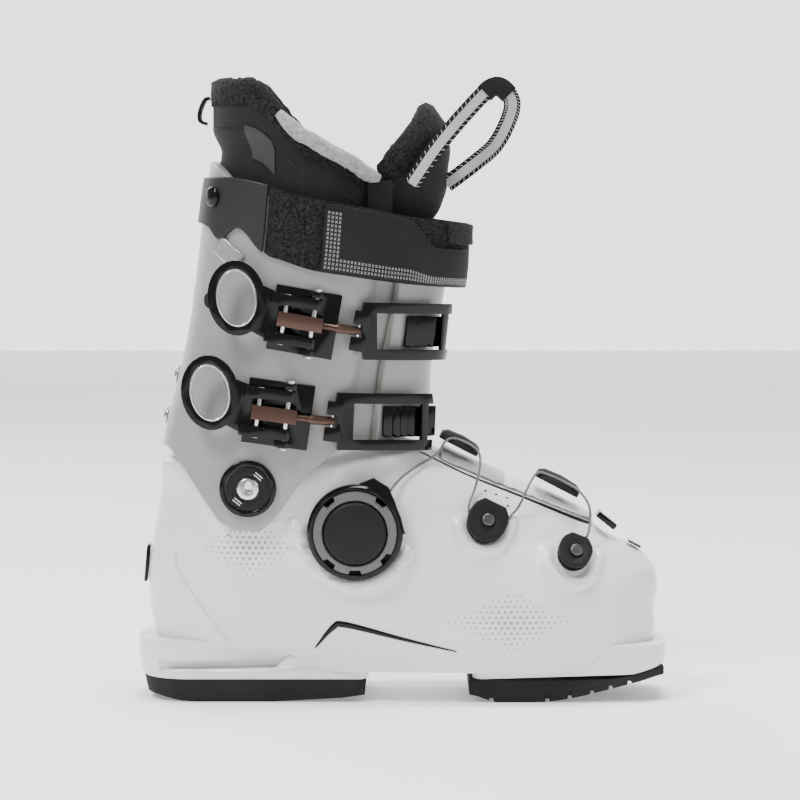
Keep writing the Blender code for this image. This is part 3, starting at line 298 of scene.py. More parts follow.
def cuff_point(turn, step, depth):
    """A point of the cuff's sheet: it starts under the front, goes round the back and ends over the front."""
    angle = np.radians(turn)
    tuck = (CUFF_WALL + 0.8) * ramp(turn, -68, -57)
    low = edge_height(CUFF_LOWER_EDGE, angle, tuck)
    high = edge_height(CUFF_UPPER_EDGE, angle, tuck)
    height = low + (high - low) * step
    x, y = cuff_outline(height, angle, tuck + depth * CUFF_WALL)
    return x, y + CENTRE_Y, height


def liner_inset(height, angle):
    front = ramp(np.cos(angle), 0.1, 0.45)
    inset = CUFF_WALL + 0.7 + 6.0 * front
    inset = inset + 7.2 * (1 - ramp(height, 160, 172))
    return inset - (CUFF_WALL + 0.2) * ramp(height, 293, 306) * (1 - front)


def shaft_point(turn, step, depth):
    """A point of the liner's shaft, from its seam with the foot part to its rim."""
    angle = np.radians(turn)
    base_x, _y = cuff_outline(200.0, angle, 10)
    low = 127.5 + 0.11 * np.maximum(base_x - PIVOT_X, 0)
    high = along(LINER_RIM, base_x)
    height = low + (high - low) * step
    ends = 8.0 * (1 - ramp(height, 160, 172))
    x, y = cuff_outline(np.minimum(height, 294), angle, liner_inset(height, angle) + depth, ends)
    return x, y + CENTRE_Y, height


def tongue_point(turn, step, depth):
    """A point of the tongue: an arc round the shin, higher in its middle."""
    angle = np.radians(turn)
    top = TONGUE_TOP - 32.0 * (turn / TONGUE_SIDE) ** 2
    height = TONGUE_BASE + (top - TONGUE_BASE) * step
    radius = 24.5 + 11.0 * ramp(height, 235, 302)
    x = along(TONGUE_FRONT, height) - radius + (radius - depth) * np.cos(angle)
    return x, (radius - depth) * np.sin(angle) + CENTRE_Y, height


def strap_point(turn, step, proud):
    """A place round the cuff between the strap's edges; the strap stands off the tongue in front."""
    angle = np.radians(turn)
    flat_x, _y = cuff_outline(250.0, angle)
    low = along(STRAP_BOTTOM, flat_x)
    high = along(STRAP_TOP, flat_x)
    height = low + (high - low) * step
    x, y = cuff_outline(height, angle, -proud)
    return x + 9.0 * np.maximum(np.cos(angle), 0) ** 1.5, y + CENTRE_Y, height


# --- Meshes --------------------------------------------------------------------------------------

def make(name, points, faces, look, sharp=40.0):
    """A closed mesh object from points in millimetres, with its faces outward."""
    mesh = bpy.data.meshes.new(name)
    mesh.from_pydata([Vector(p) * MM for p in points], [], [tuple(f) for f in faces])
    work = bmesh.new()
    work.from_mesh(mesh)
    bmesh.ops.remove_doubles(work, verts=work.verts, dist=1e-6)
    bmesh.ops.recalc_face_normals(work, faces=work.faces)
    work.to_mesh(mesh)
    work.free()
    mesh.shade_smooth()
    mesh.set_sharp_from_angle(angle=math.radians(sharp))
    piece = bpy.data.objects.new(name, mesh)
    bpy.context.collection.objects.link(piece)
    if look:
        mesh.materials.append(look)
    return piece


def settle(piece, sharp=None):
    """Turn a piece's modifiers into plain mesh."""
    bpy.context.view_layer.update()
    depsgraph = bpy.context.evaluated_depsgraph_get()
    mesh = bpy.data.meshes.new_from_object(piece.evaluated_get(depsgraph))
    piece.modifiers.clear()
    piece.data = mesh
    if sharp:
        mesh.shade_smooth()
        mesh.set_sharp_from_angle(angle=math.radians(sharp))
    return piece


def bevelled(piece, width, segments=2, limit=40.0):
    modifier = piece.modifiers.new("round", "BEVEL")
    modifier.width = width * MM
    modifier.segments = segments
    modifier.limit_method = "ANGLE"
    modifier.angle_limit = math.radians(limit)
    modifier.use_clamp_overlap = True
    return settle(piece, 50)


def loft(rings, capped=True):
    """Points and faces through closed rings of equal length."""
    count = len(rings[0])
    points = [p for ring in rings for p in ring]
    faces = []
    for i in range(len(rings) - 1):
        for j in range(count):
            k = (j + 1) % count
            faces.append((i * count + j, i * count + k, (i + 1) * count + k, (i + 1) * count + j))
    if capped:
        faces.append(tuple(range(count))[::-1])
        last = (len(rings) - 1) * count
        faces.append(tuple(range(last, last + count)))
    return points, faces


def sheet_solid(surface, us, vs, low, high):
    """A plate with a smooth rim: surface(u, v, height) is called with arrays."""
    u, v = np.meshgrid(us, vs, indexing="ij")
    faces = []
    points = []
    columns = len(vs)
    base = len(us) * columns
    for level in (high, low):
        h = level(u, v) if callable(level) else np.full(u.shape, float(level))
        x, y, z = surface(u, v, h)
        points += list(zip(np.ravel(x + 0 * u), np.ravel(y + 0 * u), np.ravel(z + 0 * u)))
    for i in range(len(us) - 1):
        for j in range(columns - 1):
            a = i * columns + j
            quad = (a, a + columns, a + columns + 1, a + 1)
            faces.append(quad)
            faces.append(tuple(base + c for c in quad[::-1]))
    rim = [i * columns for i in range(len(us))]
    rim += [(len(us) - 1) * columns + j for j in range(1, columns)]
    rim += [i * columns + columns - 1 for i in range(len(us) - 2, -1, -1)]
    rim += [j for j in range(columns - 2, 0, -1)]
    for p, q in zip(rim, rim[1:] + rim[:1]):
        faces.append((p, q, base + q, base + p))
    return points, faces


def sweep(path, radius, sides=10):
    """A round tube through points, with flat ends."""
    points = [Vector(p) for p in path]
    radii = radius if isinstance(radius, (list, tuple)) else [radius] * len(points)
    rings = []
    side = None
    for k, point in enumerate(points):
        tangent = (points[min(k + 1, len(points) - 1)] - points[max(k - 1, 0)]).normalized()
        side = tangent.orthogonal() if side is None else side - tangent * side.dot(tangent)
        side.normalize()
        other = tangent.cross(side)
        rings.append([point + (side * math.cos(FULL_TURN * s / sides)
                               + other * math.sin(FULL_TURN * s / sides)) * radii[k] for s in range(sides)])
    return loft(rings)


def curve_through(points, steps):
    """Points of a smooth curve through the given ones."""
    knots = [Vector(p) for p in points]
    out = []
    for k in range(len(knots) - 1):
        before = knots[max(k - 1, 0)]
        after = knots[min(k + 2, len(knots) - 1)]
        a, b = knots[k], knots[k + 1]
        for step in range(steps):
            f = step / steps
            out.append(a * (1 + 2 * f) * (1 - f) ** 2 + b * f * f * (3 - 2 * f)
                       + (b - before) * 0.5 * f * (1 - f) ** 2 - (after - a) * 0.5 * f * f * (1 - f))
    out.append(knots[-1])
    return out


def lathe(centre, axis, profile, sides=64):
    """A turned solid; profile is (radius, height along the axis)."""
    direction = Vector(axis).normalized()
    across = direction.orthogonal().normalized()
    other = direction.cross(across)
    rings = []
    for radius, height in profile:
        middle = Vector(centre) + direction * height
        rings.append([middle + across * (radius * math.cos(FULL_TURN * k / sides))
                      + other * (radius * math.sin(FULL_TURN * k / sides)) for k in range(sides)])
    return loft(rings)


def joined(name, pieces):
    """One object from several."""
    work = bmesh.new()
    looks = []
    for piece in pieces:
        start = len(work.faces)
        work.from_mesh(piece.data)
        work.faces.ensure_lookup_table()
        slots = []
        for look in piece.data.materials:
            if look not in looks:
                looks.append(look)
            slots.append(looks.index(look))
        for face in work.faces[start:]:
            face.material_index = slots[face.material_index] if slots else 0
        bpy.data.objects.remove(piece, do_unlink=True)
    mesh = bpy.data.meshes.new(name)
    work.to_mesh(mesh)
    work.free()
    for look in looks:
        mesh.materials.append(look)
    result = bpy.data.objects.new(name, mesh)
    bpy.context.collection.objects.link(result)
    return result


def cut(piece, cutter):
    """Take cutter's shape out of piece and delete cutter."""
    modifier = piece.modifiers.new("cut", "BOOLEAN")
    modifier.operation = "DIFFERENCE"
    modifier.object = cutter
    modifier.solver = "EXACT"
    settle(piece)
    bpy.data.objects.remove(cutter, do_unlink=True)
    return piece


def finish_piece(piece, body, *nodes):
    """The piece rides a body and stands for CAD nodes."""
    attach(piece, body)
    if nodes:
        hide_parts(*nodes)
    return piece


def refined(node, look, width=0.35, segments=2, limit=35.0):
    """A CAD node's shape with rounded edges and a finish."""
    mesh = frame["nodes"][node].data.copy()
    mesh.name = f"{node}_fine"
    work = bmesh.new()
    work.from_mesh(mesh)
    bmesh.ops.remove_doubles(work, verts=work.verts, dist=2e-6)
    bmesh.ops.dissolve_limit(work, angle_limit=math.radians(1.0), verts=work.verts, edges=work.edges)
    bmesh.ops.recalc_face_normals(work, faces=work.faces)
    work.to_mesh(mesh)
    work.free()
    mesh.materials.clear()
    mesh.materials.append(look)
    piece = bpy.data.objects.new(f"{node}_fine", mesh)
    bpy.context.collection.objects.link(piece)
    bevelled(piece, width, segments, limit)
    return finish_piece(piece, BODY_OF[node], node)


def paint(node, look):
    """A CAD node shown as it is, with a finish of its own."""
    mesh = frame["nodes"][node].data
    mesh.materials.clear()
    mesh.materials.append(look)


# --- Repeated shapes -----------------------------------------------------------------------------

def scatter_group(name, shape):
    """Geometry Nodes that put a small shape on every point, turned and sized by the points' attributes."""
    group = bpy.data.node_groups.new(name, "GeometryNodeTree")
    group.interface.new_socket("Geometry", in_out="INPUT", socket_type="NodeSocketGeometry")
    group.interface.new_socket("Scale", in_out="INPUT", socket_type="NodeSocketFloat")
    group.interface.new_socket("Material", in_out="INPUT", socket_type="NodeSocketMaterial")
    group.interface.new_socket("Geometry", in_out="OUTPUT", socket_type="NodeSocketGeometry")
    nodes = group.nodes
    links = group.links
    source = nodes.new("NodeGroupInput")
    sink = nodes.new("NodeGroupOutput")
    if shape == "dome":
        solid = nodes.new("GeometryNodeMeshUVSphere")
        solid.inputs["Segments"].default_value = 10
        solid.inputs["Rings"].default_value = 6
        solid.inputs["Radius"].default_value = 1.0
    elif shape == "disc":
        solid = nodes.new("GeometryNodeMeshCylinder")
        solid.inputs["Vertices"].default_value = 20
        solid.inputs["Radius"].default_value = 1.0
        solid.inputs["Depth"].default_value = 1.0
    else:
        solid = nodes.new("GeometryNodeMeshCube")
        solid.inputs["Size"].default_value = (1, 1, 1)
    place = nodes.new("GeometryNodeInstanceOnPoints")
    vectors = {}
    for label in ("facing", "heading", "size"):
        vectors[label] = nodes.new("GeometryNodeInputNamedAttribute")
        vectors[label].data_type = "FLOAT_VECTOR"
        vectors[label].inputs["Name"].default_value = label
    upright = nodes.new("FunctionNodeAlignRotationToVector")
    upright.axis = "Z"
    headed = nodes.new("FunctionNodeAlignRotationToVector")
    headed.axis = "X"
    headed.pivot_axis = "Z"
    grow = nodes.new("ShaderNodeVectorMath")
    grow.operation = "SCALE"
    realize = nodes.new("GeometryNodeRealizeInstances")
    finish = nodes.new("GeometryNodeSetMaterial")
    links.new(source.outputs["Geometry"], place.inputs["Points"])
    links.new(solid.outputs["Mesh"], place.inputs["Instance"])
    links.new(vectors["facing"].outputs["Attribute"], upright.inputs["Vector"])
    links.new(upright.outputs["Rotation"], headed.inputs["Rotation"])
    links.new(vectors["heading"].outputs["Attribute"], headed.inputs["Vector"])
    links.new(headed.outputs["Rotation"], place.inputs["Rotation"])
    links.new(vectors["size"].outputs["Attribute"], grow.inputs[0])
    links.new(source.outputs["Scale"], grow.inputs["Scale"])
    links.new(grow.outputs["Vector"], place.inputs["Scale"])
    links.new(place.outputs["Instances"], realize.inputs["Geometry"])
    links.new(realize.outputs["Geometry"], finish.inputs["Geometry"])
    links.new(source.outputs["Material"], finish.inputs["Material"])
    links.new(finish.outputs["Geometry"], sink.inputs["Geometry"])
    return group


def scatter(name, shape, places, look, scale=1.0):
    """Small shapes at places: (point, facing, heading, size) in millimetres."""
    mesh = bpy.data.meshes.new(name)
    mesh.from_pydata([Vector(p) * MM for p, _f, _h, _s in places], [], [])
    for label, index in (("facing", 1), ("heading", 2), ("size", 3)):
        attribute = mesh.attributes.new(label, "FLOAT_VECTOR", "POINT")
        unit = MM if label == "size" else 1.0
        attribute.data.foreach_set("vector", [c * unit for place in places for c in place[index]])
    piece = bpy.data.objects.new(name, mesh)
    bpy.context.collection.objects.link(piece)
    modifier = piece.modifiers.new("scatter", "NODES")
    modifier.node_group = scatter_group(f"{name}_scatter", shape)
    sockets = {item.name: item.identifier for item in modifier.node_group.interface.items_tree
               if item.in_out == "INPUT"}
    modifier[sockets["Scale"]] = scale
    modifier[sockets["Material"]] = look
    settle(piece)
    piece.data.shade_smooth()
    piece.data.set_sharp_from_angle(angle=math.radians(45))
    for attribute in [a for a in piece.data.attributes if a.name in ("facing", "heading", "size")]:
        piece.data.attributes.remove(attribute)
    return piece


# --- Materials -----------------------------------------------------------------------------------

LOOKS = {}


def look(name, colour, rough, metallic=0.0, grain=900.0, bump=0.05, vary=0.08, coat=0.0, sheen=0.0,
         weave=0.0, translucent=0.0, specular=0.5, patches=22.0):
    """A finish with a fine grain, slight changes of colour and shine, and optional weave, coat or sheen."""
    if name in LOOKS:
        return LOOKS[name]
    made = bpy.data.materials.new(name)
    made.use_nodes = True
    nodes = made.node_tree.nodes
    links = made.node_tree.links
    shader = nodes["Principled BSDF"]
    place = nodes.new("ShaderNodeTexCoord")
    broad = nodes.new("ShaderNodeTexNoise")
    broad.inputs["Scale"].default_value = patches
    broad.inputs["Detail"].default_value = 3.0
    fine = nodes.new("ShaderNodeTexNoise")
    fine.inputs["Scale"].default_value = grain
    fine.inputs["Detail"].default_value = 2.0
    tones = nodes.new("ShaderNodeValToRGB")
    tones.color_ramp.elements[0].position = 0.3
    tones.color_ramp.elements[1].position = 0.7
    tones.color_ramp.elements[0].color = (*[c * (1 - vary) for c in colour], 1)
    tones.color_ramp.elements[1].color = (*[min(c * (1 + vary), 1) for c in colour], 1)
    shine = nodes.new("ShaderNodeMapRange")
    shine.inputs["To Min"].default_value = max(rough - 0.06, 0.03)
    shine.inputs["To Max"].default_value = min(rough + 0.06, 1.0)
    relief = nodes.new("ShaderNodeBump")
    relief.inputs["Strength"].default_value = bump
    relief.inputs["Distance"].default_value = 0.0004
    for texture in (broad, fine):
        links.new(place.outputs["Object"], texture.inputs["Vector"])
    links.new(broad.outputs["Fac"], tones.inputs["Fac"])
    links.new(tones.outputs["Color"], shader.inputs["Base Color"])
    links.new(fine.outputs["Fac"], shine.inputs["Value"])
    links.new(shine.outputs["Result"], shader.inputs["Roughness"])
    height = fine.outputs["Fac"]
    if weave:
        waves = []
        for direction in ("X", "Z"):
            wave = nodes.new("ShaderNodeTexWave")
            wave.bands_direction = direction
            wave.inputs["Scale"].default_value = weave
            wave.inputs["Distortion"].default_value = 0.6
            links.new(place.outputs["Object"], wave.inputs["Vector"])
            waves.append(wave)
        product = nodes.new("ShaderNodeMath")
        product.operation = "MULTIPLY"
        links.new(waves[0].outputs["Fac"], product.inputs[0])
        links.new(waves[1].outputs["Fac"], product.inputs[1])
        both = nodes.new("ShaderNodeMath")
        both.operation = "ADD"
        links.new(product.outputs["Value"], both.inputs[0])
        links.new(fine.outputs["Fac"], both.inputs[1])
        height = both.outputs["Value"]
    links.new(height, relief.inputs["Height"])
    links.new(relief.outputs["Normal"], shader.inputs["Normal"])
    shader.inputs["Metallic"].default_value = metallic
    shader.inputs["Specular IOR Level"].default_value = specular
    shader.inputs["Coat Weight"].default_value = coat
    shader.inputs["Coat Roughness"].default_value = 0.12
    shader.inputs["Sheen Weight"].default_value = sheen
    shader.inputs["Subsurface Weight"].default_value = translucent
    shader.inputs["Subsurface Radius"].default_value = (0.004, 0.004, 0.0035)
    LOOKS[name] = made
    return made


def chosen(setting):
    """A colour from the settings."""
    return tuple(getattr(bpy.context.scene.boot_settings, setting))


def white_plastic():
    return look("white_plastic", chosen("shell_colour"), 0.30, grain=700, bump=0.03, vary=0.015,
                coat=0.25)


def grey_plastic():
    return look("cuff_plastic", chosen("cuff_colour"), 0.34, grain=800, bump=0.04, vary=0.05,
                coat=0.15, translucent=0.1)


def gloss_black():
    return look("gloss_black", chosen("buckle_colour"), 0.14, grain=1200, bump=0.04, vary=0.2,
                specular=0.24)


def matt_black():
    return look("matt_black", (0.009, 0.009, 0.0095), 0.5, grain=1500, bump=0.1, vary=0.2,
                specular=0.16)


def charcoal():
    return look("charcoal_plastic", (0.017, 0.017, 0.018), 0.45, grain=1400, bump=0.12, vary=0.12,
                specular=0.25)


def bright_steel():
    return look("bright_steel", (0.62, 0.62, 0.63), 0.22, 1.0, grain=1500, bump=0.05, vary=0.06)


def dull_steel():
    return look("lace_steel", (0.16, 0.155, 0.15), 0.4, 0.7, grain=2500, bump=0.2, vary=0.15)


def brown_metal():
    return look("brown_metal", (0.09, 0.052, 0.04), 0.34, 0.85, grain=1500, bump=0.06, vary=0.15)


def rubber():
    return look("sole_rubber", (0.013, 0.013, 0.0135), 0.75, grain=600, bump=0.3, vary=0.15, specular=0.2)


def fuzzy_black():
    return look("fuzzy_black", (0.013, 0.013, 0.0135), 0.95, grain=1100, bump=1.0, vary=0.95, sheen=0.04,
                specular=0.1, patches=800)


def liner_cloth():
    return look("liner_cloth", (0.010, 0.010, 0.0105), 0.8, grain=1500, bump=0.5, vary=0.3, sheen=0.03,
                weave=260, specular=0.2)


def fleece():
    return look("pale_fleece", chosen("fleece_colour"), 0.95, grain=750, bump=1.0, vary=0.3, sheen=0.15,
                specular=0.1, patches=450)


def fleece_lining():
    return look("lining_fleece", (0.02, 0.02, 0.0205), 0.95, grain=700, bump=0.9, vary=0.3, sheen=0.05,
                specular=0.1)


def webbing():
    return look("grey_webbing", (0.40, 0.40, 0.41), 0.85, grain=1500, bump=0.8, vary=0.15, sheen=0.2,
                weave=420)


def dark_webbing():
    return look("dark_webbing", (0.010, 0.010, 0.0105), 0.9, grain=1500, bump=0.8, vary=0.3, weave=420,
                specular=0.15)


def elastic_cloth():
    return look("elastic_weave", (0.013, 0.013, 0.0135), 0.8, grain=1500, bump=0.9, vary=0.9, weave=300,
                specular=0.2, patches=700)


def tag_cloth():
    return look("tag_cloth", (0.028, 0.028, 0.03), 0.6, weave=500, specular=0.3)


def silver_print():
    return look("silver_print", (0.30, 0.30, 0.305), 0.4, 0.3, vary=0.1)


def ribbed_silver():
    return look("ribbed_silver", (0.5, 0.5, 0.5), 0.3, 0.85, vary=0.08)


# Darker grey for the heel groove's and slot's cut faces: painted shade in the recesses, over the same white
# plastic
def recess_grey():
    return look("recess_grey", (0.34, 0.34, 0.345), 0.5, grain=800, bump=0.03, vary=0.04)


# Dark grey for the small raised dots: painted shade standing in for the shadow round each dot
def painted_dot_shade():
    return look("dot_white", (0.30, 0.30, 0.305), 0.4, grain=900, bump=0.05, vary=0.05)


def flap_grey():
    return look("flap_grey", (0.40, 0.40, 0.402), 0.35, grain=800, bump=0.04, vary=0.04)


def dial_grey():
    return look("dial_grey", (0.085, 0.085, 0.087), 0.45, grain=1500, bump=0.1, vary=0.1)


def dark_screw():
    return look("dark_screw", (0.09, 0.09, 0.095), 0.35, 0.8)


def bright_paper(name, strength):
    """White studio paper that also glows a little, so that the room round the boot stays white."""
    paper = look(name, (0.9, 0.9, 0.905), 0.9, grain=60, bump=0.0, vary=0.004)
    shader = paper.node_tree.nodes["Principled BSDF"]
    shader.inputs["Emission Color"].default_value = (1, 1, 1, 1)
    shader.inputs["Emission Strength"].default_value = strength
    return paper


# --- Lower shell and soles -----------------------------------------------------------------------

def shell_relief(x, z, outer_side):
    """How far the shell stands out of its plain form: the dial's collar and the guides' rims."""
    dx = x - DIAL_X
    dz = z - DIAL_Z
    radius = np.hypot(dx, dz)
    turn = np.degrees(np.arctan2(dz, dx))
    band = hump(radius, *DIAL_COLLAR)
    window = np.maximum(1 - ramp(turn, -30, -12), ramp(turn, 165, 176)) * (1 - ramp(dx, 30, 42))
    relief = DIAL_COLLAR_PROUD * band * window
    for gx, gz in SIDE_GUIDES:
        near = np.hypot(x - gx, z - gz)
        below = 1 - ramp(z - gz, -2, 8)
        relief = np.maximum(relief, GUIDE_RIM_PROUD * hump(near, *GUIDE_RIM) * below)
    return np.where(outer_side, relief, 0)


def shell_mesh(rows, count):
    """Rings of the shell's outer surface with its relief."""
    angle = np.linspace(0, FULL_TURN, count, endpoint=False)
    h, a = np.meshgrid(np.array(rows, float), angle, indexing="ij")
    x, y = shell_outline(h, a)
    points = np.stack([x, y + CENTRE_Y, h], axis=-1)
    around = np.roll(points, -1, axis=1) - np.roll(points, 1, axis=1)
    upward = np.gradient(points, axis=0)
    normal = np.cross(around, upward)
    normal /= np.maximum(np.linalg.norm(normal, axis=-1, keepdims=True), 1e-9)
    return points + normal * shell_relief(x, h, y < -5)[..., None]


def shell_lug(outlines, look_used, name, bevel=0.8):
    """A lug through plan outlines: (height, outline), where the height may change over x."""
    rings = []
    for height, outline in outlines:
        level = height if callable(height) else lambda x, fixed=height: fixed
        rings.append([(x, y + CENTRE_Y, float(level(x))) for x, y in outline])
    points, faces = loft(rings)
    return bevelled(make(name, points, faces, look_used), bevel, 3)


def lug_outline(x_back, x_front, half, round_back, round_front, steps=12):
    """Plan outline of a sole lug with rounded corners, in (x, y)."""
    points = []
    corners = ((x_front, half, round_front, 0), (x_back, half, round_back, 90),
               (x_back, -half, round_back, 180), (x_front, -half, round_front, 270))
    for x, y, radius, start in corners:
        cx = x - math.copysign(radius, x - (x_back + x_front) / 2)
        cy = y - math.copysign(radius, y)
        for k in range(steps + 1):
            angle = math.radians(start + 90 * k / steps)
            points.append((cx + radius * math.cos(angle), cy + radius * math.sin(angle)))
    return points


def toe_seat(x):
    return 12.6 + 8.0 * ramp(x, 105, 155)


def toe_rocker(x):
    return 15.5 * ramp(x, 70, 158) + 4.0 * (1 - ramp(x, 36, 52))


SURFACES = {}


def outer_surface():
    """The shell's outer surface as a search tree, for placing small parts on it."""
    if "shell" not in SURFACES:
        rows = np.concatenate([np.linspace(SHELL_BASE, 66, 40), np.linspace(67, SHELL_TOP, 90)])
        points = shell_mesh(rows, 240)
        flat, faces = loft([list(map(tuple, ring)) for ring in points])
        SURFACES["shell"] = BVHTree.FromPolygons([Vector(p) for p in flat], faces)
    return SURFACES["shell"]


def cuff_surface():
    """The cuff's outer surface as a search tree."""
    if "cuff" not in SURFACES:
        columns = 240
        rows = 70
        turns, steps = np.meshgrid(np.linspace(-60, CUFF_OVER, columns),
                                   np.linspace(0, 1, rows), indexing="ij")
        x, y, z = cuff_point(turns, steps, 0.0)
        flat = [Vector(p) for p in zip(x.ravel(), y.ravel(), z.ravel())]
        faces = []
        for i in range(columns - 1):
            for j in range(rows - 1):
                a = i * rows + j
                faces.append((a, a + rows, a + rows + 1, a + 1))
        SURFACES["cuff"] = BVHTree.FromPolygons(flat, faces)
    return SURFACES["cuff"]


def on_side(x, z, surface=None, side=-1):
    """The point and outward direction where the outer side's surface meets a line along Y."""
    tree = surface or outer_surface()
    point, normal, _index, _distance = tree.ray_cast(Vector((x, side * 200.0, z)), Vector((0, -side, 0)))
    if point is None:
        return None, None
    if normal.y * side < 0:
        normal = -normal
    return point, normal


def on_top(x, y):
    """The point and outward direction where the shell meets a line straight down."""
    point, normal, _index, _distance = outer_surface().ray_cast(Vector((x, y, 260.0)), Vector((0, 0, -1)))
    if point is None:
        return None, None
    return point, normal if normal.z > 0 else -normal


def side_strip(name, path, widths, look_used, low=-0.6, high=0.7, steps=10):
    """A strip along a path on the outer side of the shell, from low to high over its surface."""
    profile = ((-0.5, low), (0.5, low), (0.5, high * 0.6), (0.3, high), (-0.3, high), (-0.5, high * 0.6))
    middle = curve_through([(x, 0, z) for x, z in path], steps)
    wide = np.interp(np.linspace(0, 1, len(middle)), np.linspace(0, 1, len(widths)), widths)
    rings = []
    for k, point in enumerate(middle):
        tangent = (middle[min(k + 1, len(middle) - 1)] - middle[max(k - 1, 0)]).normalized()
        across = Vector((-tangent.z, 0, tangent.x))
        ring = []
        for offset, level in profile:
            spot = point + across * (offset * wide[k])
            base, normal = on_side(spot.x, spot.z)
            ring.append(base + normal * level)
        rings.append(ring)
    points, faces = loft(rings)
    return make(name, points, faces, look_used, 60)


def dimple_places():
    """Diamond fields of round dots, larger in the middle, on both fields of the outer side."""
    places = []
    for cx, cz, half_x, half_z in (REAR_FIELD, FRONT_FIELD):
        for i in range(-12, 13):
            for j in range(-12, 13):
                u = (i + 0.5 * (j % 2)) * DOT_PITCH
                v = j * DOT_PITCH * 0.86
                share = abs(u) / half_x + abs(v) / half_z
                if share > 1:
                    continue
                base, normal = on_side(cx + u, cz + v)
                if base is None:
                    continue
                size = 1.15 - 0.75 * share
                places.append((base - normal * 0.05, normal, (1, 0, 0), (size, size, 0.32)))
    return places


def crosswise(outline, near, far, side=1):
    """Points and faces of a bar across the boot with an (x, height) outline, between two distances."""
    return loft([[(u, side * reach + CENTRE_Y, v) for u, v in outline] for reach in (near, far)])


def build_shell(settings):
    white = white_plastic()
    rows = list(np.linspace(SHELL_BASE, 30, 14)) + list(np.linspace(31.5, 66, 32))
    rows += list(np.linspace(66.8, SHELL_TOP, 96))
    count = int(settings.shell_sides)
    outer = [list(map(tuple, ring)) for ring in shell_mesh(rows, count)]
    angle = np.linspace(0, FULL_TURN, count, endpoint=False)
    inner = []
    for z in (24, 30, 45, 60, 72, 82, 88, 94, 100, 106, 112, 118, 124, 130, 136, 142, SHELL_TOP):
        x, y = shell_outline(np.full(count, float(z)), angle, SHELL_WALL)
        limit = along(SHELL_FRONT, min(max(z, 40) + 5, SHELL_TOP)) - SHELL_WALL
        inner.append([(min(a, limit), b + CENTRE_Y, z) for a, b in zip(x, y)])
    points, faces = loft(outer + inner[::-1])
    body = make("shell_body", points, faces, white, RIM_ANGLE)
    # The dots are coloured dark grey as painted shade, for the shadow round each dot
    dots = scatter("dots", "dome", dimple_places(), painted_dot_shade())
    ridge = side_strip("ridge", HEEL_RIDGE, RIDGE_WIDTH, white, high=1.1)
    shell = joined("shell_fine", [body, heel_lug(white), toe_lug(white), dots, ridge])
    finish_piece(shell, "shell", "lower_shell")
    accent = side_strip("accent_line", ACCENT_LINE, ACCENT_WIDTH, gloss_black())
    finish_piece(accent, "shell")
    marks = []
    for x, z in FIT_SCALE:
        point, normal = on_side(x, z)
        marks.append((point + normal * 0.05, normal, (1, 0, 0.3), (1.3, 0.9, 0.3)))
    finish_piece(scatter("fit_scale", "block", marks, matt_black()), "shell")
    # A black strip under the flap's lower edge: painted shade where the flap stands over the shell
    edge_shade = side_strip("flap_gap", FLAP_SHADE_LINE, FLAP_SHADE_WIDTH, matt_black(), high=0.35)
    finish_piece(edge_shade, "shell")


def heel_lug(white):
    """The heel's lug with a long groove and a short slot on both sides, whose cut faces take a darker grey as
    painted shade in the recesses.
    """
    outlines = ((12.3, lug_outline(-139.5, -19, 33, 26, 5)), (20, lug_outline(-142.0, -15.5, 34.6, 29, 5)),
                (24, lug_outline(-142.5, -14, 35, 30, 5)), (33.5, lug_outline(-142.5, -14, 35, 30, 5)))
    lug = shell_lug(outlines, white, "heel_lug_fine")
    shade_in_recess = recess_grey()
    for side in (-1, 1):
        # The cutters' darker grey goes onto the cut faces: painted shade in the groove and the slot
        cut(lug, make("groove", *crosswise(HEEL_GROOVE, 28, 60, side), shade_in_recess))
        cut(lug, make("slot", *crosswise(HEEL_SLOT, 30, 60, side), shade_in_recess))
    return lug


def toe_lug(white):
    outlines = ((toe_seat, lug_outline(38, 141.5, 34, 6, 20)), (26, lug_outline(38, 142.5, 34.5, 6, 20)),
                (31, lug_outline(38, 142.5, 34.5, 6, 20)))
    return shell_lug(outlines, white, "toe_lug_fine")


def build_flap(settings):
    """The instep's upper flap, which wraps over the outer side down to its edge."""
    columns = 30
    overlap = CENTRE_Y + 19
    outer = []
    inner = []
    for x in np.linspace(FLAP_START, FLAP_END, 66):
        lowest = float(along(FLAP_EDGE, x))
        spots = []
        reach = CENTRE_Y
        while reach > -45:
            hit, _normal = on_top(x, reach)
            if hit is None or hit.z < lowest:
                break
            spots.append(hit)
            reach -= 1.0
        start = spots[max(len(spots) - 1, 1)].y
        row_outer = []
        row_inner = []
        for k in range(columns):
            f = k / (columns - 1)
            hit, normal = on_top(x, start + (overlap - start) * f)
            thick = 3.1 - 1.6 * (1 - math.sin(math.pi * min(max(f, 0.03), 0.97))) ** 4
            row_outer.append(hit + normal * thick)
            row_inner.append(hit + normal * 0.9)
        outer.append(row_outer)
        inner.append(row_inner)
    rings = [a + b[::-1] for a, b in zip(outer, inner)]
    flap = bevelled(make("instep_flap_fine", *loft(rings), white_plastic(), RIM_ANGLE), 0.5, 2, 50)
    flap.data.materials.append(flap_grey())
    for face in flap.data.polygons:
        face.material_index = 1 if face.center.x < FLAP_GREY_END * MM else 0
    finish_piece(flap, "shell", "instep_flap")


def toe_pad_half(x):
    return 33.5 - 9 * ramp(x, 122, 143) ** 1.5


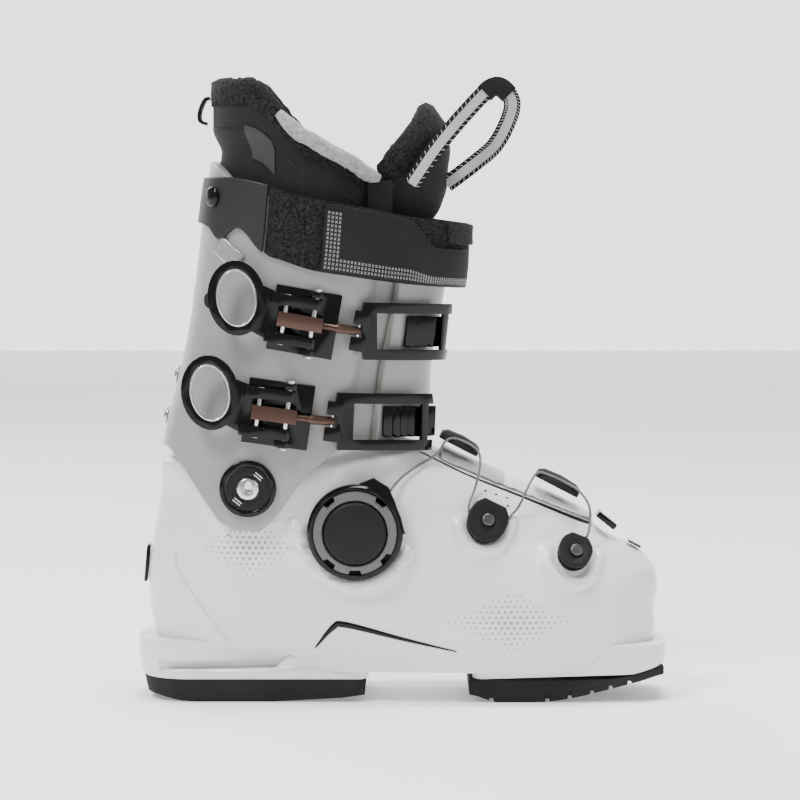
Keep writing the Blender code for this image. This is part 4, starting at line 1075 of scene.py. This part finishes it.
def build_soles(settings):
    black = rubber()
    heel = ((0.0, lug_outline(-126, -66, 30, 20, 4)), (2.2, lug_outline(-134, -30, 32, 23, 5)),
            (3.7, lug_outline(-137.5, -19.8, 32.7, 25, 5)), (12.0, lug_outline(-139.5, -19, 33, 26, 5)))
    pad = shell_lug(heel, black, "heel_pad_fine", 0.6)
    for x in (-112, -98, -84, -70):
        tread = ((x - 1.2, -1), (x + 1.2, -1), (x + 0.8, 1.6), (x - 0.8, 1.6))
        cut(pad, make("tread", *crosswise(tread, -26, 26), None))
    finish_piece(pad, "shell", "heel_pad")

    points, faces = sheet_solid(lambda u, v, h: (u, v * toe_pad_half(u) + CENTRE_Y, h),
                                np.linspace(36, 141, 80), np.linspace(-1, 1, 5),
                                lambda u, v: toe_rocker(u) + 0 * v,
                                lambda u, v: toe_seat(u) - 0.3 + 0 * v)
    pad = bevelled(make("toe_pad_fine", points, faces, black), 0.8, 3)
    for x in (48, 78, 90, 102, 112, 122):
        z = float(toe_rocker(x))
        tread = ((x - 1.6, z - 3), (x + 1.6, z - 3), (x + 1.0, z + 1.8), (x - 1.0, z + 1.8))
        cut(pad, make("tread", *crosswise(tread, -40, 40), None))
    finish_piece(pad, "shell", "toe_pad")
    paint("boot_board", charcoal())
    places = ((-105, 0, 0.0), (-40, 15, 1.2), (-40, -15, 1.2), (58, 16, 0.0), (58, -16, 0.0))
    screws = [((x, CENTRE_Y + y, z + 0.75), (0, 0, -1), (1, 0, 0), (3.4, 3.4, 1.6)) for x, y, z in places]
    finish_piece(scatter("sole_screws", "disc", screws, bright_steel()), "shell")


# --- Cuff ----------------------------------------------------------------------------------------

def canting_marks(side, out):
    """Two short bright lines on both ends of a canting disc's slot."""
    low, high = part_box(f"canting_disc_{side}")
    face = (low.y if out < 0 else high.y) / MM
    marks = []
    for degrees in (50, 230):
        turn = math.radians(degrees)
        for radius in CANTING_MARKS:
            spot = (PIVOT_X + radius * math.cos(turn), face + out * 0.05, PIVOT_Z + radius * math.sin(turn))
            heading = (-math.sin(turn), 0, math.cos(turn))
            marks.append((spot, (0, out, 0), heading, (5.0, 0.5, 0.4)))
    finish_piece(scatter(f"canting_marks_{side}", "block", marks, bright_steel()), f"canting_disc_{side}")


def build_cuff(settings):
    grey = grey_plastic()
    turns = np.linspace(CUFF_UNDER, CUFF_OVER, 300)
    points, faces = sheet_solid(cuff_point, turns, np.linspace(0, 1, 80), 1.0, 0.0)
    sheet = bevelled(make("cuff_fine", points, faces, grey, RIM_ANGLE), 1.2, 3, RIM_ANGLE)
    finish_piece(sheet, "cuff", "cuff")
    paint("cuff_plug", matt_black())
    for side, out in (("lateral", -1), ("medial", 1)):
        refined(f"canting_ring_{side}", gloss_black(), 0.6)
        refined(f"canting_disc_{side}", matt_black(), 0.4)
        refined(f"pivot_screw_{side}", bright_steel(), 0.3)
        canting_marks(side, out)
    for name in ("spine_bolt_lower", "spine_bolt_upper"):
        refined(name, bright_steel(), 0.5)
    refined("heel_back_plate", gloss_black(), 0.8)


# --- Liner ---------------------------------------------------------------------------------------

def roughen(piece, height, scale, name):
    """Small random hills on a piece, as on fleece."""
    texture = bpy.data.textures.new(name, "CLOUDS")
    texture.noise_scale = scale * MM
    modifier = piece.modifiers.new("nap", "DISPLACE")
    modifier.texture = texture
    modifier.texture_coords = "LOCAL"
    modifier.strength = height * MM
    modifier.mid_level = 0.5
    settle(piece)
    piece.data.shade_smooth()
    return piece


def rim_band(name, surface, turns, low, high, proud, look_used):
    """A fuzzy band over a rim: it covers the outer face, the edge and the inner face."""
    middle = (low + high) / 2
    profile = ((low, -proud), (middle, -proud * 1.3), (high, -proud), (high + 0.006, LINER_THICK / 2),
               (high, LINER_THICK + proud), (middle, LINER_THICK + proud * 1.3), (low, LINER_THICK + proud))
    rings = []
    for turn in turns:
        ring = []
        for step, depth in profile:
            x, y, z = surface(turn, step, depth)
            lift = 1.0 if step > high else 0.0
            ring.append((float(x), float(y), float(z) + lift))
        rings.append(ring)
    return make(name, *loft(rings), look_used, SOFT_ALL_OVER)


def soft_ring(z, inset, angle):
    """A level ring inside the shell, for the liner's foot part."""
    x, y = shell_outline(np.full(len(angle), float(z)), angle, SHELL_WALL + inset)
    limit = float(along(SHELL_FRONT, min(z + 8, SHELL_TOP))) - 4.5 - inset
    return [(min(a, limit), b + CENTRE_Y, z) for a, b in zip(x, y)]


def liner_foot():
    angle = np.linspace(0, FULL_TURN, 120, endpoint=False)
    outer = [soft_ring(z, 2.4, angle) for z in np.linspace(31, 124, 40)]
    inner = [soft_ring(z, 7.5, angle) for z in np.linspace(37, 124, 38)]
    points, faces = loft(outer + inner[::-1])
    foot = bevelled(make("liner_foot_fine", points, faces, fleece_lining(), RIM_ANGLE), 1.5, 3, RIM_ANGLE)
    finish_piece(foot, "shell", "liner_foot")


def padded_sheet(node, surface, turns):
    """A thick padded sheet of liner cloth with a round rim."""
    points, faces = sheet_solid(surface, turns, np.linspace(0, 1, 90), LINER_THICK, 0.0)
    piece = bevelled(make(f"{node}_fine", points, faces, liner_cloth(), RIM_ANGLE), 2.2, 4, RIM_ANGLE)
    finish_piece(piece, "cuff", node)


def build_liner(settings):
    fuzz = fuzzy_black()
    liner_foot()
    padded_sheet("liner_shaft", shaft_point, np.linspace(-58, -302, 180))
    band = rim_band("liner_rim_band", shaft_point, np.linspace(-66, -294, 160), 0.94, 1.0, 0.8, fuzz)
    finish_piece(roughen(band, 2.0, 2.4, "rim_nap"), "cuff")
    padded_sheet("liner_tongue", tongue_point, np.linspace(-TONGUE_SIDE, TONGUE_SIDE, 110))
    band = rim_band("tongue_rim_band", tongue_point, np.linspace(-92, 92, 90), 0.87, 1.0, 0.8, fuzz)
    finish_piece(roughen(band, 2.0, 2.4, "tongue_nap"), "cuff")
    gussets()
    fleece_roll()
    places = stitches(shaft_point, np.linspace(-70, -290, 130), 0.88, -0.1)
    finish_piece(scatter("liner_stitches", "block", places, charcoal()), "cuff")
    places = stitches(tongue_point, np.linspace(-88, 88, 70), 0.84, -0.1)
    finish_piece(scatter("tongue_stitches", "block", places, charcoal()), "cuff")
    tag = sheet_solid(lambda u, v, h: shaft_point(u - 26 * (v - 0.84), v, -h), np.linspace(-126, -109, 24),
                      np.linspace(0.80, 0.885, 12), 0.1, 0.9)
    finish_piece(bevelled(make("liner_tag", *tag, tag_cloth(), RIM_ANGLE), 0.3, 2), "cuff")


def gussets():
    """Thin cloth that closes the slits between the shaft and the tongue."""
    plan = ((-18, 40), (-5, 37.5), (-5, 36), (-18, 38.5))
    for side, name in ((-1, "gusset_lateral"), (1, "gusset_medial")):
        rings = [[(x, CENTRE_Y + side * reach, z) for x, reach in plan] for z in (252, 260, 270, 279)]
        finish_piece(make(name, *loft(rings), liner_cloth(), 50), "cuff")


def fleece_roll():
    """The pale roll on the outer side's rim, thinner at both ends."""
    count = 40
    path = []
    for turn in np.linspace(-104, -60, count):
        x, y, z = shaft_point(turn, 1.0, -4.4)
        path.append((float(x), float(y), float(z) - 1.0))
    last = count - 1
    radii = [3.9 * min(1.0, 0.55 + 4 * min(k, last - k) / last) for k in range(count)]
    roll = make("fleece_roll_fine", *sweep(path, radii, 28), fleece(), SOFT_ALL_OVER)
    finish_piece(roughen(roll, 1.6, 2.2, "fleece_nap"), "cuff", "liner_fleece_roll")


def stitches(surface, turns, step, depth):
    """Short threads in a row along a surface at one step."""
    places = []
    for a, b in zip(turns[:-1], turns[1:]):
        first = Vector([float(c) for c in surface(a, step, depth)])
        second = Vector([float(c) for c in surface(b, step, depth)])
        inside = Vector([float(c) for c in surface(a, step, depth + 2)])
        facing = (first - inside).normalized()
        heading = (second - first).normalized()
        length = (second - first).length * 0.62
        places.append((first + facing * 0.1, facing, heading, (length, 0.55, 0.4)))
    return places


def ribbon_frames(path, facing, steps):
    """Places along a ribbon: the point, its direction, the ribbon's face and the direction across it."""
    middle = curve_through(path, steps)
    facing = Vector(facing).normalized()
    places = []
    for k, point in enumerate(middle):
        tangent = (middle[min(k + 1, len(middle) - 1)] - middle[max(k - 1, 0)]).normalized()
        face = (facing - tangent * facing.dot(tangent)).normalized()
        places.append((point, tangent, face, tangent.cross(face)))
    return places


def webbing_band(name, path, width, thickness, facing, node):
    """A woven strap with dark woven borders."""
    pieces = []
    bands = ((-0.5, -0.27, dark_webbing()), (-0.27, 0.27, webbing()), (0.27, 0.5, dark_webbing()))
    for low, high, look_used in bands:
        rings = []
        for k, (point, _tangent, face, across) in enumerate(ribbon_frames(path, facing, 14)):
            half = thickness / 2 + 0.12 * math.sin(k * 1.9)
            rings.append([point + across * width * a + face * b
                          for a, b in ((low, -half), (high, -half), (high, half), (low, half))])
        pieces.append(make(name, *loft(rings), look_used, 50))
    return finish_piece(joined(name, pieces), "cuff", node)


def loop_threads():
    """Slanted threads on both dark borders of the pull loop's webbing."""
    places = []
    for point, tangent, face, across in ribbon_frames(PULL_LOOP, LOOP_FACING, 14)[1:-1:2]:
        for side in (-1, 1):
            for front in (-1, 1):
                level = front * (LOOP_THICK / 2 + 0.12)
                spot = point + across * (side * 0.385 * LOOP_WIDTH) + face * level
                heading = across + tangent * side * 0.9
                places.append((spot, face * front, heading, (1.7, 0.35, 0.16)))
    finish_piece(scatter("loop_threads", "block", places, webbing()), "cuff")


def loop_sleeve():
    """The dark sleeve over the pull loop's bend."""
    outline = ((-5.1, -1.5), (5.1, -1.5), (5.1, 1.5), (-5.1, 1.5))
    rings = [[point + across * a + face * b for a, b in outline]
             for point, _tangent, face, across in ribbon_frames(LOOP_FOLD, LOOP_FACING, 6)]
    finish_piece(bevelled(make("loop_end_sleeve", *loft(rings), matt_black(), 50), 0.5, 2, 60), "cuff")


def build_webbing(settings):
    webbing_band("pull_loop_fine", PULL_LOOP, LOOP_WIDTH, LOOP_THICK, LOOP_FACING, "tongue_pull_loop")
    loop_threads()
    loop_sleeve()
    webbing_band("rear_tab_fine", REAR_TAB, 17.0, 1.6, (-1, 0, 0.2), "liner_rear_tab")


# --- Power strap ---------------------------------------------------------------------------------

def label_point(turn, step, proud):
    """A place on the strap's patch, which is taller in its rear part."""
    top = 0.58 + 0.37 * ramp(-turn, 40, 55)
    return strap_point(turn, 0.03 + (top - 0.03) * step, proud)


def place_on(surface, turn, step, proud):
    """A point of a wrapped surface, its outward direction and the direction along it."""
    point = Vector([float(c) for c in surface(turn, step, proud)])
    above = Vector([float(c) for c in surface(turn, step, proud + 2)])
    ahead = Vector([float(c) for c in surface(turn + 0.5, step, proud)])
    return point, (above - point).normalized(), (ahead - point).normalized()


def mesh_band_places():
    """Crossed bars of the silver mesh print along the patch's rear and lower edges."""
    rows = [0.07 + 0.062 * row for row in range(14)]
    columns = [PRINT_START + 1.28 * column for column in range(4)]
    lower = [(PRINT_START + PRINT_REACH * k / 53, step) for k in range(54) for step in rows[:3]]
    rear = [(turn, step) for step in rows[3:] for turn in columns]
    places = []
    for lean in (-1, 1):
        for turn, step in lower + rear:
            point, facing, heading = place_on(label_point, turn, step, PRINT_PROUD)
            places.append((point, facing, heading + facing.cross(heading) * lean * 1.2, PRINT_BAR))
    return places


def build_strap(settings):
    band_piece("strap_rear_fine", "strap_rear_panel", strap_point, (-108, -252), (0, 1), (0.4, 2.6),
               charcoal(), 0.7)
    band_piece("strap_web_fine", "strap_web", strap_point, (107, -107), (0.02, 0.98), (0.6, 2.4),
               fuzzy_black(), 0.6)
    band_piece("strap_patch_fine", "strap_end_patch", label_point, (-16, -86), (0, 1), (2.8, 4.8),
               matt_black(), 0.7)
    band_piece("strap_elastic_fine", "strap_elastic", strap_point, (30, -32), (0.66, 0.96), (2.8, 4.4),
               elastic_cloth(), 0.5)
    finish_piece(scatter("strap_mesh_print", "block", mesh_band_places(), silver_print()), "cuff")
    threads = []
    seams = ((label_point, (-84, -18, 44), 0.035, -4.85), (label_point, (-84, -18, 44), 0.96, -4.85),
             (strap_point, (28, -14, 26), 0.70, -4.45), (strap_point, (28, -14, 26), 0.92, -4.45))
    for surface, turns, step, depth in seams:
        threads += stitches(lambda t, s, d, on=surface: on(t, s, -d), np.linspace(*turns), step, depth)
    finish_piece(scatter("strap_stitches", "block", threads, charcoal()), "cuff")
    for side in ("lateral", "medial"):
        refined(f"strap_rivet_{side}", gloss_black(), 0.5)
    refined("strap_anchor_ribbed", ribbed_silver(), 0.4)
    finish_piece(scatter("anchor_ribs", "block", anchor_rib_places(), ribbed_silver()), "cuff")


def anchor_rib_places():
    """Ribs across the ribbed anchor, which leans on the cuff."""
    places = []
    for k in range(ANCHOR_RIBS):
        x, z = ANCHOR_MIDDLE + ANCHOR_ACROSS * RIB_PITCH * (k - (ANCHOR_RIBS - 1) / 2)
        point, normal = on_side(x, z, cuff_surface())
        if point is not None:
            heading = Vector((ANCHOR_ALONG.x, 0, ANCHOR_ALONG.y))
            places.append((point + normal * 1.9, normal, heading, (9.0, 0.8, 0.9)))
    return places


def band_piece(name, node, surface, turns, steps, levels, look_used, edge):
    """A band of the strap between two turns, two steps and two levels over the cuff."""
    count = max(int(abs(turns[1] - turns[0]) / 1.6), 8)
    points, faces = sheet_solid(surface, np.linspace(*turns, count), np.linspace(*steps, 14), *levels)
    piece = bevelled(make(name, points, faces, look_used, RIM_ANGLE), edge, 3, RIM_ANGLE)
    return finish_piece(piece, "cuff", node)


# --- Buckles -------------------------------------------------------------------------------------

def middle_of(node):
    """The middle of a CAD node's box, in millimetres."""
    low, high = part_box(node)
    return (low + high) / 2 / MM


def build_buckles(settings):
    edge = settings.edge / MM
    for name in ("upper", "lower"):
        refined(f"{name}_buckle_base", gloss_black(), 0.8, 3)
        refined(f"{name}_lever", gloss_black(), edge, 3)
        refined(f"{name}_lever_lip", bright_steel(), 0.25)
        refined(f"{name}_bail", gloss_black(), edge, 3)
        refined(f"{name}_link", brown_metal(), 0.6, 3)
        for pin in ("lever_pin", "link_pin", "bail_pin"):
            refined(f"{name}_{pin}", bright_steel(), 0.3)
        refined(f"{name}_ladder", gloss_black(), 0.6, 3)
        lean = math.radians(BUCKLE_LEAN[name])
        up = Vector((math.sin(lean), 0, math.cos(lean)))
        for pin, label, reach, radius in PIN_HEADS:
            middle = middle_of(f"{name}_{pin}")
            places = [(middle + up * reach * end, up * end, (0, 1, 0), (radius, radius, 1.0))
                      for end in (-1, 1)]
            heads = scatter(f"{name}_{label}", "disc", places, bright_steel())
            finish_piece(heads, BODY_OF[f"{name}_{pin}"])
        thread_rings(name)


def thread_rings(name):
    """The fine thread on the adjusting rod between the bar and the sleeve."""
    lean = math.radians(BUCKLE_LEAN[name])
    forward = Vector((math.cos(lean), 0, -math.sin(lean)))
    hinge = middle_of(f"{name}_lever_pin")
    places = []
    for k in range(12):
        u = THREAD_START + THREAD_PITCH * k
        w = 10.4 - 1.2 * (u - 3) / 9 - 6.2
        middle = hinge + forward * u + Vector((0, -w, 0))
        places.append((middle, forward, (0, 1, 0), (1.95, 1.95, 0.24)))
    finish_piece(scatter(f"{name}_rod_thread", "disc", places, brown_metal()), f"{name}_link")


# --- Dial, guides, lace and trim -----------------------------------------------------------------

def round_dial(turn, radius, y=0.0):
    """A place round the dial's middle at a turn in radians."""
    return DIAL_X + radius * math.cos(turn), y, DIAL_Z + radius * math.sin(turn)


def grip_radius(turn):
    """The grip ring's outer radius at a turn in degrees, with five finger cut-outs."""
    radius = GRIP_RADIUS
    for notch in GRIP_NOTCHES:
        away = abs((turn - notch + 180) % 360 - 180)
        radius -= NOTCH_DEPTH * float(1 - ramp(away, 7, 9.5))
    return radius


def grip_ring(front, back):
    """The grip ring: rings of points as (inset from the outer radius or a fixed radius, y)."""
    count = 360
    outer = [grip_radius(360 * k / count) for k in range(count)]
    levels = ((0, None, back), (0, None, front + 1.4), (0.4, None, front + 0.4), (1.3, None, front),
              (0, GRIP_INSIDE + 0.6, front), (0, GRIP_INSIDE, front + 0.8), (0, GRIP_INSIDE, back))
    rings = []
    for inset, fixed, y in levels:
        rings.append([round_dial(math.radians(360 * k / count), fixed or outer[k] - inset, y)
                      for k in range(count)])
    points, faces = loft(rings, capped=False)
    last = (len(rings) - 1) * count
    for j in range(count):
        k = (j + 1) % count
        faces.append((last + j, last + k, k, j))
    finish_piece(make("dial_grip_fine", points, faces, dial_grey(), 35), "lacing_dial", "dial_grip_ring")


def build_dial(settings):
    refined("dial_housing", gloss_black(), 0.8, 3)
    low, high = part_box("dial_grip_ring")
    front = low.y / MM
    grip_ring(front, high.y / MM)
    low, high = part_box("dial_cap")
    base = (DIAL_X, high.y / MM, DIAL_Z)
    tall = (high.y - low.y) / MM
    profile = ((16.6, 0), (16.6, tall - 1.6), (16.2, tall - 0.8), (15.5, tall - 0.3), (14.8, tall),
               (5, tall - 0.15), (0.2, tall - 0.2))
    cap = make("dial_cap_fine", *lathe(base, (0, -1, 0), profile, 128), matt_black(), 35)
    finish_piece(cap, "lacing_dial", "dial_cap")
    paint("dial_spool", charcoal())
    knurls = []
    for degrees in range(0, 360, 5):
        if abs(grip_radius(degrees) - GRIP_RADIUS) < 0.05:
            turn = math.radians(degrees)
            spot = round_dial(turn, GRIP_RADIUS - 0.05, front + 5.2)
            knurls.append((spot, (math.cos(turn), 0, math.sin(turn)), (0, 1, 0), (4.0, 0.8, 0.5)))
    finish_piece(scatter("dial_knurls", "block", knurls, dial_grey()), "lacing_dial")


def side_guide(number):
    """A guide with a flat upper edge, a round lower one and a groove round it for the lace."""
    half_u, half_v, lean = GUIDE_SIZES[number - 1]
    base, normal = on_side(*SIDE_GUIDES[number - 1])
    across = Vector((1, 0, 0)) - normal * normal.x
    across.normalize()
    up = normal.cross(across)
    up = up if up.z > 0 else -up
    turn = math.radians(lean)
    outline = [(half_u * math.cos(a), half_v * math.sin(a)) for a in np.linspace(math.pi, FULL_TURN, 40)]
    shoulder = ((0, 3.0), (1.0, half_v - 5.0), (4.0, half_v - 1.4), (5.0, half_v - 1.0))
    outline += [(half_u - inward, v) for inward, v in shoulder]
    outline += [(inward - half_u, v) for inward, v in shoulder[::-1]]

    def ring(level, inset):
        share_u = (half_u - inset) / half_u
        share_v = (half_v - inset) / half_v
        spots = []
        for u, v in outline:
            a = u * share_u * math.cos(turn) - v * share_v * math.sin(turn)
            b = u * share_u * math.sin(turn) + v * share_v * math.cos(turn)
            spots.append(base + across * a + up * b + normal * level)
        return spots

    points, faces = loft([ring(*level) for level in GUIDE_PROFILE])
    finish_piece(make(f"side_guide_{number}_fine", points, faces, matt_black(), 30), "shell",
                 f"side_guide_{number}")


def lace_path():
    """The middle of the lace as points of a smooth curve."""
    knots = []
    for x, z, proud, *y in LACE_ROUTE:
        if y:
            knots.append(Vector((x, y[0], z)))
        else:
            point, normal = on_side(x, z)
            knots.append(point + normal * proud)
    return curve_through(knots, 16)


def twisted_lace():
    """Three steel strands twisted round the lace's path."""
    path = lace_path()
    strands = []
    for strand in range(3):
        line = []
        side = None
        for k, point in enumerate(path):
            tangent = (path[min(k + 1, len(path) - 1)] - path[max(k - 1, 0)]).normalized()
            side = tangent.orthogonal() if side is None else side - tangent * side.dot(tangent)
            side.normalize()
            other = tangent.cross(side)
            phase = k * STRAND_TWIST + FULL_TURN * strand / 3
            line.append(point + (side * math.cos(phase) + other * math.sin(phase)) * STRAND_OFFSET)
        strands.append(make("strand", *sweep(line, STRAND_RADIUS, 7), dull_steel(), SOFT_ALL_OVER))
    finish_piece(joined("lace_fine", strands), "shell", "lace")


def guide_star(number):
    """The star in a side guide's screw."""
    _point, normal = on_side(*SIDE_GUIDES[number - 1])
    middle = middle_of(f"side_guide_screw_{number}")
    rays = []
    for k in range(3):
        turn = math.pi * k / 3
        heading = Vector((math.cos(turn), 0, math.sin(turn)))
        rays.append((middle + normal * 2.05, normal, heading, (3.6, 0.8, 0.3)))
    finish_piece(scatter(f"guide_star_{number}", "block", rays, matt_black()), "shell")


def build_lacing(settings):
    twisted_lace()
    for number in (1, 2):
        side_guide(number)
        refined(f"top_guide_{number}", matt_black(), 0.8, 3, 50)
        refined(f"side_guide_screw_{number}", dark_screw(), 0.25)
        guide_star(number)
    for name in ("front_clip", "toe_badge"):
        refined(name, gloss_black(), 0.5, 3)


# --- Studio --------------------------------------------------------------------------------------

def paper_plane(name, size, place, rotation, glow):
    bpy.ops.mesh.primitive_plane_add(size=size, location=place, rotation=rotation)
    plane = bpy.context.object
    plane.name = f"studio_{name}"
    plane.data.materials.append(bright_paper(f"{name}_paper", glow))
    plane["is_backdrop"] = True


def build_stage(settings):
    paper_plane("floor", 6.0, (0, 0.4, 0), (0, 0, 0), FLOOR_GLOW)
    paper_plane("backdrop", 9.0, (0, 3.4, 0), (math.pi / 2, 0, 0), BACKDROP_GLOW)
    for name, place, size, watts in LAMPS:
        data = bpy.data.lights.new(name, "AREA")
        data.size = size
        data.energy = watts * settings.light
        lamp = bpy.data.objects.new(name, data)
        lamp.location = place
        lamp.rotation_euler = (Vector((0, 0, 0.15)) - Vector(place)).to_track_quat("-Z", "Y").to_euler()
        bpy.context.collection.objects.link(lamp)
        lamp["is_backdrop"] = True
    world = bpy.data.worlds.new("studio")
    world.use_nodes = True
    background = world.node_tree.nodes["Background"]
    background.inputs["Color"].default_value = (1.0, 1.0, 1.0, 1)
    background.inputs["Strength"].default_value = ROOM_LIGHT
    bpy.context.scene.world = world
    camera_data = bpy.data.cameras.new("camera")
    camera_data.lens = CAMERA_LENS
    camera_data.sensor_width = SENSOR_WIDTH
    camera = bpy.data.objects.new("camera", camera_data)
    target = Vector(CAMERA_TARGET)
    distance = VIEW_WIDTH * CAMERA_LENS / SENSOR_WIDTH
    elevation = settings.camera_height
    camera.location = target + Vector((0, -math.cos(elevation), math.sin(elevation))) * distance
    camera.rotation_euler = (target - camera.location).to_track_quat("-Z", "Y").to_euler()
    bpy.context.collection.objects.link(camera)
    bpy.context.scene.camera = camera
    camera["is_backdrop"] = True


# --- Add-on --------------------------------------------------------------------------------------

class BootSettings(bpy.types.PropertyGroup):
    """Sizes, colours and lights that a user may change."""
    shell_sides: IntProperty(name="Shell sides", description="Points round each ring of the shell",
                             default=360, min=60, max=480)
    edge: FloatProperty(name="Buckle edge", description="Rounding of the buckles' edges",
                        default=0.0008, min=0.0001, max=0.002, precision=4, unit="LENGTH")
    shell_colour: FloatVectorProperty(name="Shell colour", description="Plastic of the lower shell",
                                      default=(0.72, 0.72, 0.727), min=0, max=1, subtype="COLOR")
    cuff_colour: FloatVectorProperty(name="Cuff colour", description="Plastic of the cuff",
                                     default=(0.27, 0.263, 0.252), min=0, max=1, subtype="COLOR")
    buckle_colour: FloatVectorProperty(name="Buckle colour", description="Coat of the buckles and the dial",
                                       default=(0.003, 0.003, 0.0032), min=0, max=1, subtype="COLOR")
    fleece_colour: FloatVectorProperty(name="Fleece colour", description="Pale roll on the liner's rim",
                                       default=(0.27, 0.268, 0.262), min=0, max=1, subtype="COLOR")
    light: FloatProperty(name="Light", description="Brightness of the studio lamps",
                         default=1.0, min=0.1, max=5, subtype="FACTOR")
    camera_height: FloatProperty(name="Camera height", description="Angle of the camera above level",
                                 default=math.radians(4), min=math.radians(-10), max=math.radians(80),
                                 subtype="ANGLE")


class BOOT_OT_build_shell(bpy.types.Operator):
    """Lower shell with its lugs, dots and lines"""
    bl_idname = "boot.build_shell"
    bl_label = "Build shell"
    bl_options = {"REGISTER", "UNDO"}

    def execute(self, context):
        build_shell(context.scene.boot_settings)
        return {"FINISHED"}


class BOOT_OT_build_flap(bpy.types.Operator):
    """Upper flap of the instep"""
    bl_idname = "boot.build_flap"
    bl_label = "Build flap"
    bl_options = {"REGISTER", "UNDO"}

    def execute(self, context):
        build_flap(context.scene.boot_settings)
        return {"FINISHED"}


class BOOT_OT_build_soles(bpy.types.Operator):
    """Walking-sole pads and screws"""
    bl_idname = "boot.build_soles"
    bl_label = "Build soles"
    bl_options = {"REGISTER", "UNDO"}

    def execute(self, context):
        build_soles(context.scene.boot_settings)
        return {"FINISHED"}


class BOOT_OT_build_cuff(bpy.types.Operator):
    """Cuff sheet, pivots and bolts"""
    bl_idname = "boot.build_cuff"
    bl_label = "Build cuff"
    bl_options = {"REGISTER", "UNDO"}

    def execute(self, context):
        build_cuff(context.scene.boot_settings)
        return {"FINISHED"}


class BOOT_OT_build_liner(bpy.types.Operator):
    """Liner foot, shaft, tongue and fleece"""
    bl_idname = "boot.build_liner"
    bl_label = "Build liner"
    bl_options = {"REGISTER", "UNDO"}

    def execute(self, context):
        build_liner(context.scene.boot_settings)
        return {"FINISHED"}


class BOOT_OT_build_webbing(bpy.types.Operator):
    """Pull loop and rear tab"""
    bl_idname = "boot.build_webbing"
    bl_label = "Build webbing"
    bl_options = {"REGISTER", "UNDO"}

    def execute(self, context):
        build_webbing(context.scene.boot_settings)
        return {"FINISHED"}


class BOOT_OT_build_strap(bpy.types.Operator):
    """Power strap, patch and stitches"""
    bl_idname = "boot.build_strap"
    bl_label = "Build strap"
    bl_options = {"REGISTER", "UNDO"}

    def execute(self, context):
        build_strap(context.scene.boot_settings)
        return {"FINISHED"}


class BOOT_OT_build_buckles(bpy.types.Operator):
    """Both buckles with bails and ladders"""
    bl_idname = "boot.build_buckles"
    bl_label = "Build buckles"
    bl_options = {"REGISTER", "UNDO"}

    def execute(self, context):
        build_buckles(context.scene.boot_settings)
        return {"FINISHED"}


class BOOT_OT_build_dial(bpy.types.Operator):
    """Lacing dial"""
    bl_idname = "boot.build_dial"
    bl_label = "Build dial"
    bl_options = {"REGISTER", "UNDO"}

    def execute(self, context):
        build_dial(context.scene.boot_settings)
        return {"FINISHED"}


class BOOT_OT_build_lacing(bpy.types.Operator):
    """Steel lace, guides and toe trim"""
    bl_idname = "boot.build_lacing"
    bl_label = "Build lacing"
    bl_options = {"REGISTER", "UNDO"}

    def execute(self, context):
        build_lacing(context.scene.boot_settings)
        return {"FINISHED"}


class BOOT_OT_build_stage(bpy.types.Operator):
    """Floor, lamps and camera"""
    bl_idname = "boot.build_stage"
    bl_label = "Build studio"
    bl_options = {"REGISTER", "UNDO"}

    def execute(self, context):
        build_stage(context.scene.boot_settings)
        return {"FINISHED"}


# In the order in which the boot is built
OPERATORS = (
    BOOT_OT_build_shell, BOOT_OT_build_flap, BOOT_OT_build_soles,
    BOOT_OT_build_cuff, BOOT_OT_build_liner, BOOT_OT_build_webbing,
    BOOT_OT_build_strap, BOOT_OT_build_buckles, BOOT_OT_build_dial,
    BOOT_OT_build_lacing, BOOT_OT_build_stage,
)


class BOOT_PT_panel(bpy.types.Panel):
    """Buttons that build the boot's pieces."""
    bl_label = "Alpine ski boot"
    bl_idname = "BOOT_PT_panel"
    bl_space_type = "VIEW_3D"
    bl_region_type = "UI"
    bl_category = "Boot"

    def draw(self, context):
        settings = context.scene.boot_settings
        for name in BootSettings.__annotations__:
            self.layout.prop(settings, name)
        for operator in OPERATORS:
            self.layout.operator(operator.bl_idname)


CLASSES = (BootSettings, *OPERATORS, BOOT_PT_panel)


def register():
    for one in CLASSES:
        bpy.utils.register_class(one)
    bpy.types.Scene.boot_settings = PointerProperty(type=BootSettings)


def unregister():
    del bpy.types.Scene.boot_settings
    for one in reversed(CLASSES):
        bpy.utils.unregister_class(one)


def main():
    register()
    for operator in OPERATORS:
        getattr(bpy.ops.boot, operator.bl_idname.removeprefix("boot."))()
    sizes = {"first": plain(FIRST_BOUNDS), "last": plain(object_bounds())}


def plain(value):
    """Nested lists of plain numbers from vectors and tuples."""
    if isinstance(value, dict):
        return {key: plain(item) for key, item in value.items()}
    if hasattr(value, "__len__") and not isinstance(value, str):
        return [plain(item) for item in value]
    return float(value) if isinstance(value, (int, float)) else value


if __name__ == "__main__":
    main()
